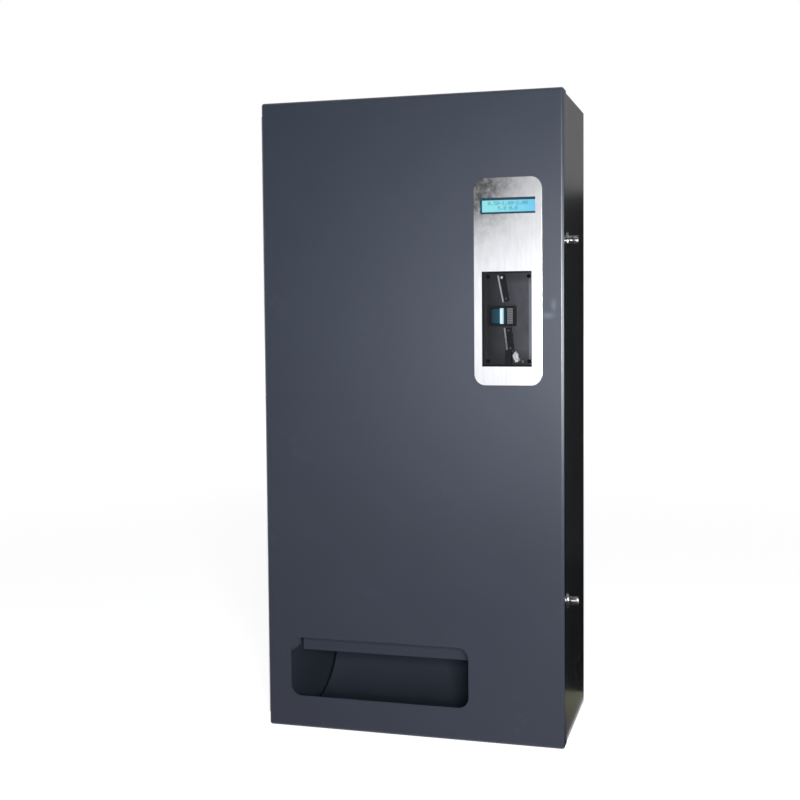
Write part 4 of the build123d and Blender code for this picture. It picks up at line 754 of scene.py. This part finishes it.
class UMBRELLA_OT_coin_unit(bpy.types.Operator):
    """Coin panel, guides, coin head, entry lens, reject button, return lever and validator"""

    bl_idname = "umbrella.coin_unit"
    bl_label = "Coin unit"

    def execute(self, context):
        plastic = context.scene.umbrella_plastic
        dress(recess_black(plastic), "coin_panel")
        black = moulded("black_plastic", shade(plastic.black, 0.7), 0.36, specular=0.10)
        dress(black, "upper_coin_guide", "lower_coin_guide")
        dress(painted_slot_glow(plastic), "coin_head", "coin_validator")
        dress(entry_tint(plastic), "coin_entry_lens")
        dress(grooved("button_grey", plastic.button, "reject_button", 0.40), "reject_button")
        dress(grooved("lever_ivory", plastic.lever, "return_lever", 0.30), "return_lever")
        return {"FINISHED"}


class UMBRELLA_OT_display(bpy.types.Operator):
    """Lit display, its clear window and the dots of its digits"""

    bl_idname = "umbrella.display"
    bl_label = "Display"

    def execute(self, context):
        display = context.scene.umbrella_display
        dress(display_screen(display), "display_module")
        dress(display_glass(display), "display_lens")

        low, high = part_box("display_lens")
        middle = (low + high) / 2
        face_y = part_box("display_module")[0].y + DIGIT_DEPTH
        forwards = Matrix.Rotation(math.radians(90), 4, "X")
        shape = bmesh.new()
        for text, foot in DISPLAY_ROWS:
            columns = SIGN_STEP * len(text) - 1
            for column, row in lit_dots(text):
                x = middle.x + (column - columns / 2) * display.dot
                z = middle.z + (foot + SIGN_HIGH - row) * display.dot
                spot = Matrix.Translation((x, face_y, z)) @ forwards
                bmesh.ops.create_grid(
                    shape, x_segments=1, y_segments=1, size=DOT_HALF * display.dot, matrix=spot
                )
        mesh = bpy.data.meshes.new("display_digits")
        shape.to_mesh(mesh)
        shape.free()
        ink = moulded("display_ink", display.ink, 0.5)
        add_piece("display_digits", mesh, "door", ink)
        return {"FINISHED"}


class UMBRELLA_OT_drive(bpy.types.Operator):
    """Dispensing drum, gears and gear motor"""

    bl_idname = "umbrella.drive"
    bl_label = "Drum and drive"

    def execute(self, context):
        scene = context.scene
        dress(powder_coat("drum_grey", scene.umbrella_paint.drum, 0.42), "dispensing_drum")
        gears = moulded("gear_white", scene.umbrella_plastic.gears, 0.42)
        dress(gears, "drum_gear", "motor_pinion")
        dress(turned_metal("motor_steel", scene.umbrella_metal.plated, 0.36), "gear_motor")
        return {"FINISHED"}


class UMBRELLA_OT_cash(bpy.types.Operator):
    """Cash box and its handle"""

    bl_idname = "umbrella.cash"
    bl_label = "Cash box"

    def execute(self, context):
        paint = context.scene.umbrella_paint
        dress(powder_coat("cash_tin", paint.cash_box, 0.40), "cash_box", "cash_box_handle")
        return {"FINISHED"}


class UMBRELLA_OT_electrics(bpy.types.Operator):
    """Controller board, power supply and cable grommet"""

    bl_idname = "umbrella.electrics"
    bl_label = "Electrics"

    def execute(self, context):
        scene = context.scene
        dress(board_green(scene.umbrella_plastic), "controller_board")
        dress(zinc_sheet("supply_case", scene.umbrella_metal.aluminium), "power_supply")
        dress(moulded("grommet_rubber", scene.umbrella_plastic.rubber, 0.60), "cable_grommet")
        return {"FINISHED"}


def only_light(finish, colour, strength=1.0):
    """Makes the finish shine with that colour and strength and nothing else."""
    finish.show(finish.node("ShaderNodeEmission", None, {"Color": colour, "Strength": strength}))
    return finish.material


def plain_light(name, colour):
    return only_light(Finish(name, {}), colour)


def glow_material(studio):
    """A bright wall that fades to black outwards from its middle."""
    finish = Finish("glow_card", {})
    middle = studio.glow_place
    reach = (1.15 * studio.glow_reach, 0.96 * studio.glow_reach)
    fade = finish.nearness((middle[0], middle[2]), reach)
    return only_light(finish, studio.glow_colour, fade * studio.glow)


def edge_material(studio):
    """A bright panel that fades up and down, for the bent edges at the right."""
    finish = Finish("edge_card", {})
    spread = 0.27
    fade = finish.nearness((studio.edge_height,), (spread,), "Z")
    return only_light(finish, WHITE, fade * studio.edge_glow)


def front_floor_material():
    """Dull red-brown ground that the lower door mirrors, paler near its right foot."""
    finish = Finish("front_floor_card", {})
    near = finish.axis("X").above(-0.10, 0.80) * finish.axis("Y").above(-0.90, 1.60)
    red_brown, pale = (0.110, 0.035, 0.055), (0.340, 0.280, 0.330)
    return only_light(finish, finish.mix(near, red_brown, pale))


def side_floor_material():
    """Olive ground that the foot of the right side mirrors, darker towards the front."""
    finish = Finish("side_floor_card", {})
    back = finish.axis("Y").above(0.03, 0.22)
    dark, olive = (0.085, 0.075, 0.085), (0.250, 0.250, 0.175)
    return only_light(finish, finish.mix(back, dark, olive))


def floor_material(studio):
    """Pale floor that keeps shadows. It glows where it is seen, and more so further away."""
    finish = Finish("pale_floor", {})
    matt = finish.node("ShaderNodeBsdfDiffuse", None, {"Color": studio.floor})
    across, along = finish.axis("X"), finish.axis("Y")
    away = (across * across + along * along).above(FLOOR_FADE, FLOOR_FADE_SPAN)
    strength = away * (1.0 - studio.floor_lift) + studio.floor_lift
    lift = finish.node("ShaderNodeEmission", None, {"Strength": strength})
    both = finish.node("ShaderNodeAddShader", None, {0: matt, 1: lift})
    finish.show(finish.node("ShaderNodeMixShader", None, {0: finish.seen(), 1: matt, 2: both}))
    return finish.material


def add_sheet(name, material, size, place, turn):
    """A flat stage sheet of that width and depth, turned and then moved to its place."""
    shape = bmesh.new()
    bmesh.ops.create_grid(shape, x_segments=1, y_segments=1, size=0.5)
    bmesh.ops.scale(shape, vec=(*size, 1.0), verts=shape.verts)
    bmesh.ops.rotate(shape, cent=(0, 0, 0), matrix=Euler(turn).to_matrix(), verts=shape.verts)
    bmesh.ops.translate(shape, vec=place, verts=shape.verts)
    mesh = bpy.data.meshes.new(name)
    shape.to_mesh(mesh)
    shape.free()
    sheet = bpy.data.objects.new(name, mesh)
    sheet.data.materials.append(material)
    bpy.context.scene.collection.objects.link(sheet)
    return sheet


def add_lamp(name, power, size, place, target):
    light = bpy.data.lights.new(name, "AREA")
    light.shape = "RECTANGLE"
    light.size, light.size_y = size
    light.energy = power
    lamp = bpy.data.objects.new(name, light)
    lamp.location = place
    ahead = Vector(target) - Vector(place)
    lamp.rotation_euler = ahead.to_track_quat("-Z", "Y").to_euler()
    bpy.context.scene.collection.objects.link(lamp)
    return light


def add_cards(studio):
    """Cards round the machine that only its paint, steel and glass mirror."""
    behind = plain_light("grey_card", (studio.far_wall,) * 3)
    low_behind = plain_light("low_card", studio.low_wall)
    dark_ground = plain_light("black_card", studio.dark_ground)
    front = plain_light("dark_card", studio.dark_wall)
    # Each card has its name, its finish, its width and height, the place of its middle and its turn
    cards = (
        ("card_front", front, (9.0, 6.0), (0.0, -3.4, 1.2), UPRIGHT),
        ("card_glow", glow_material(studio), (3.4, 3.4), studio.glow_place, UPRIGHT),
        ("card_edge", edge_material(studio), (3.2, 1.5), (1.666, -0.950, 0.750), UPRIGHT_TURNED),
        ("card_side_low", low_behind, (4.2, 1.130), (2.4, 1.5, 0.565), UPRIGHT),
        ("card_side_high", behind, (4.2, 2.4), (2.4, 1.51, 2.33), UPRIGHT),
        ("card_floor_front", front_floor_material(), (5.0, 3.245), (-0.4, -1.7775, GROUND), FLAT),
        ("card_floor_far", dark_ground, (4.2, 1.31), (2.38, 0.855, GROUND), FLAT),
        ("card_floor_near", side_floor_material(), (4.2, 0.355), (2.38, 0.0225, GROUND), FLAT),
    )
    for name, material, size, place, turn in cards:
        card = add_sheet(name, material, size, place, turn)
        card.visible_camera = False
        card.visible_diffuse = False
        card.visible_shadow = False
        card.visible_transmission = False


def add_world(scene, studio):
    """Dim even light from all round, seen as white."""
    scene.world = bpy.data.worlds.new("studio")
    tree = Tree(scene.world)
    fill_inputs = {"Color": studio.fill_colour, "Strength": studio.fill}
    fill = tree.node("ShaderNodeBackground", None, fill_inputs)
    white = tree.node("ShaderNodeBackground", None, {"Color": WHITE, "Strength": 1.0})
    tree.show(tree.node("ShaderNodeMixShader", None, {0: tree.seen(), 1: fill, 2: white}))


def add_camera(scene, studio):
    """Camera at the photograph's place, turn and lens."""
    camera = bpy.data.cameras.new("camera")
    camera.sensor_fit = "HORIZONTAL"
    camera.sensor_width = SENSOR_WIDTH_MM
    camera.lens = studio.lens
    camera.shift_x = 0.5 - PHOTO_AIM[0] / PHOTO_WIDTH
    camera.shift_y = PHOTO_AIM[1] / PHOTO_WIDTH - 0.5
    camera.clip_end = FLOOR_SIDE
    level = Vector((math.cos(studio.yaw), math.sin(studio.yaw), 0.0))
    ahead = Vector((
        -math.sin(studio.yaw) * math.cos(studio.pitch),
        math.cos(studio.yaw) * math.cos(studio.pitch),
        -math.sin(studio.pitch),
    ))
    upward = level.cross(ahead)
    right = level * math.cos(studio.roll) + upward * math.sin(studio.roll)
    above = upward * math.cos(studio.roll) - level * math.sin(studio.roll)
    turned = Matrix((right, above, -ahead)).transposed().to_4x4()
    turned.translation = Vector(studio.camera_place)
    holder = bpy.data.objects.new("camera", camera)
    holder.matrix_world = turned
    scene.collection.objects.link(holder)
    scene.camera = holder


class UMBRELLA_OT_stage(bpy.types.Operator):
    """Pale floor, bright and dark cards, lamps, world and camera"""

    bl_idname = "umbrella.stage"
    bl_label = "Studio"

    def execute(self, context):
        scene = context.scene
        studio = scene.umbrella_studio
        floor_size = (FLOOR_SIDE, FLOOR_SIDE)
        add_sheet("floor", floor_material(studio), floor_size, (0.0, 0.0, 0.0), FLAT)
        add_cards(studio)
        front_size = (studio.lamp_size, studio.lamp_size)
        front_lamp = add_lamp(
            "front_lamp", studio.lamp_power, front_size, studio.lamp_place, FRONT_LAMP_AIM
        )
        front_lamp.color = studio.lamp_colour
        add_lamp(
            "side_lamp", studio.side_power, SIDE_LAMP_SIZE, SIDE_LAMP_PLACE, SIDE_LAMP_AIM
        )
        add_world(scene, studio)
        add_camera(scene, studio)
        scene.view_settings.view_transform = "Standard"
        return {"FINISHED"}


STEPS = (
    UMBRELLA_OT_paint,
    UMBRELLA_OT_inner_sheets,
    UMBRELLA_OT_fascia,
    UMBRELLA_OT_fixings,
    UMBRELLA_OT_coin_unit,
    UMBRELLA_OT_display,
    UMBRELLA_OT_drive,
    UMBRELLA_OT_cash,
    UMBRELLA_OT_electrics,
    UMBRELLA_OT_stage,
)
GROUPS = (
    ("umbrella_paint", PaintSettings),
    ("umbrella_metal", MetalSettings),
    ("umbrella_plastic", PlasticSettings),
    ("umbrella_display", DisplaySettings),
    ("umbrella_studio", StudioSettings),
)


class UMBRELLA_PT_panel(bpy.types.Panel):
    """Settings and steps of the umbrella vending machine"""

    bl_idname = "UMBRELLA_PT_panel"
    bl_label = "Umbrella machine"
    bl_space_type = "VIEW_3D"
    bl_region_type = "UI"
    bl_category = "Umbrella machine"

    def draw(self, context):
        for name, group in GROUPS:
            box = self.layout.box()
            for setting in group.__annotations__:
                box.prop(getattr(context.scene, name), setting)
        for step in STEPS:
            self.layout.operator(step.bl_idname)


def register():
    for name, group in GROUPS:
        bpy.utils.register_class(group)
        setattr(bpy.types.Scene, name, bpy.props.PointerProperty(type=group))
    for item in (*STEPS, UMBRELLA_PT_panel):
        bpy.utils.register_class(item)


def unregister():
    for item in reversed((*STEPS, UMBRELLA_PT_panel)):
        bpy.utils.unregister_class(item)
    for name, group in reversed(GROUPS):
        delattr(bpy.types.Scene, name)
        bpy.utils.unregister_class(group)


def main():
    register()
    bpy.ops.umbrella.paint()
    bpy.ops.umbrella.inner_sheets()
    bpy.ops.umbrella.fascia()
    bpy.ops.umbrella.fixings()
    bpy.ops.umbrella.coin_unit()
    bpy.ops.umbrella.display()
    bpy.ops.umbrella.drive()
    bpy.ops.umbrella.cash()
    bpy.ops.umbrella.electrics()
    bpy.ops.umbrella.stage()


if __name__ == "__main__":
    main()
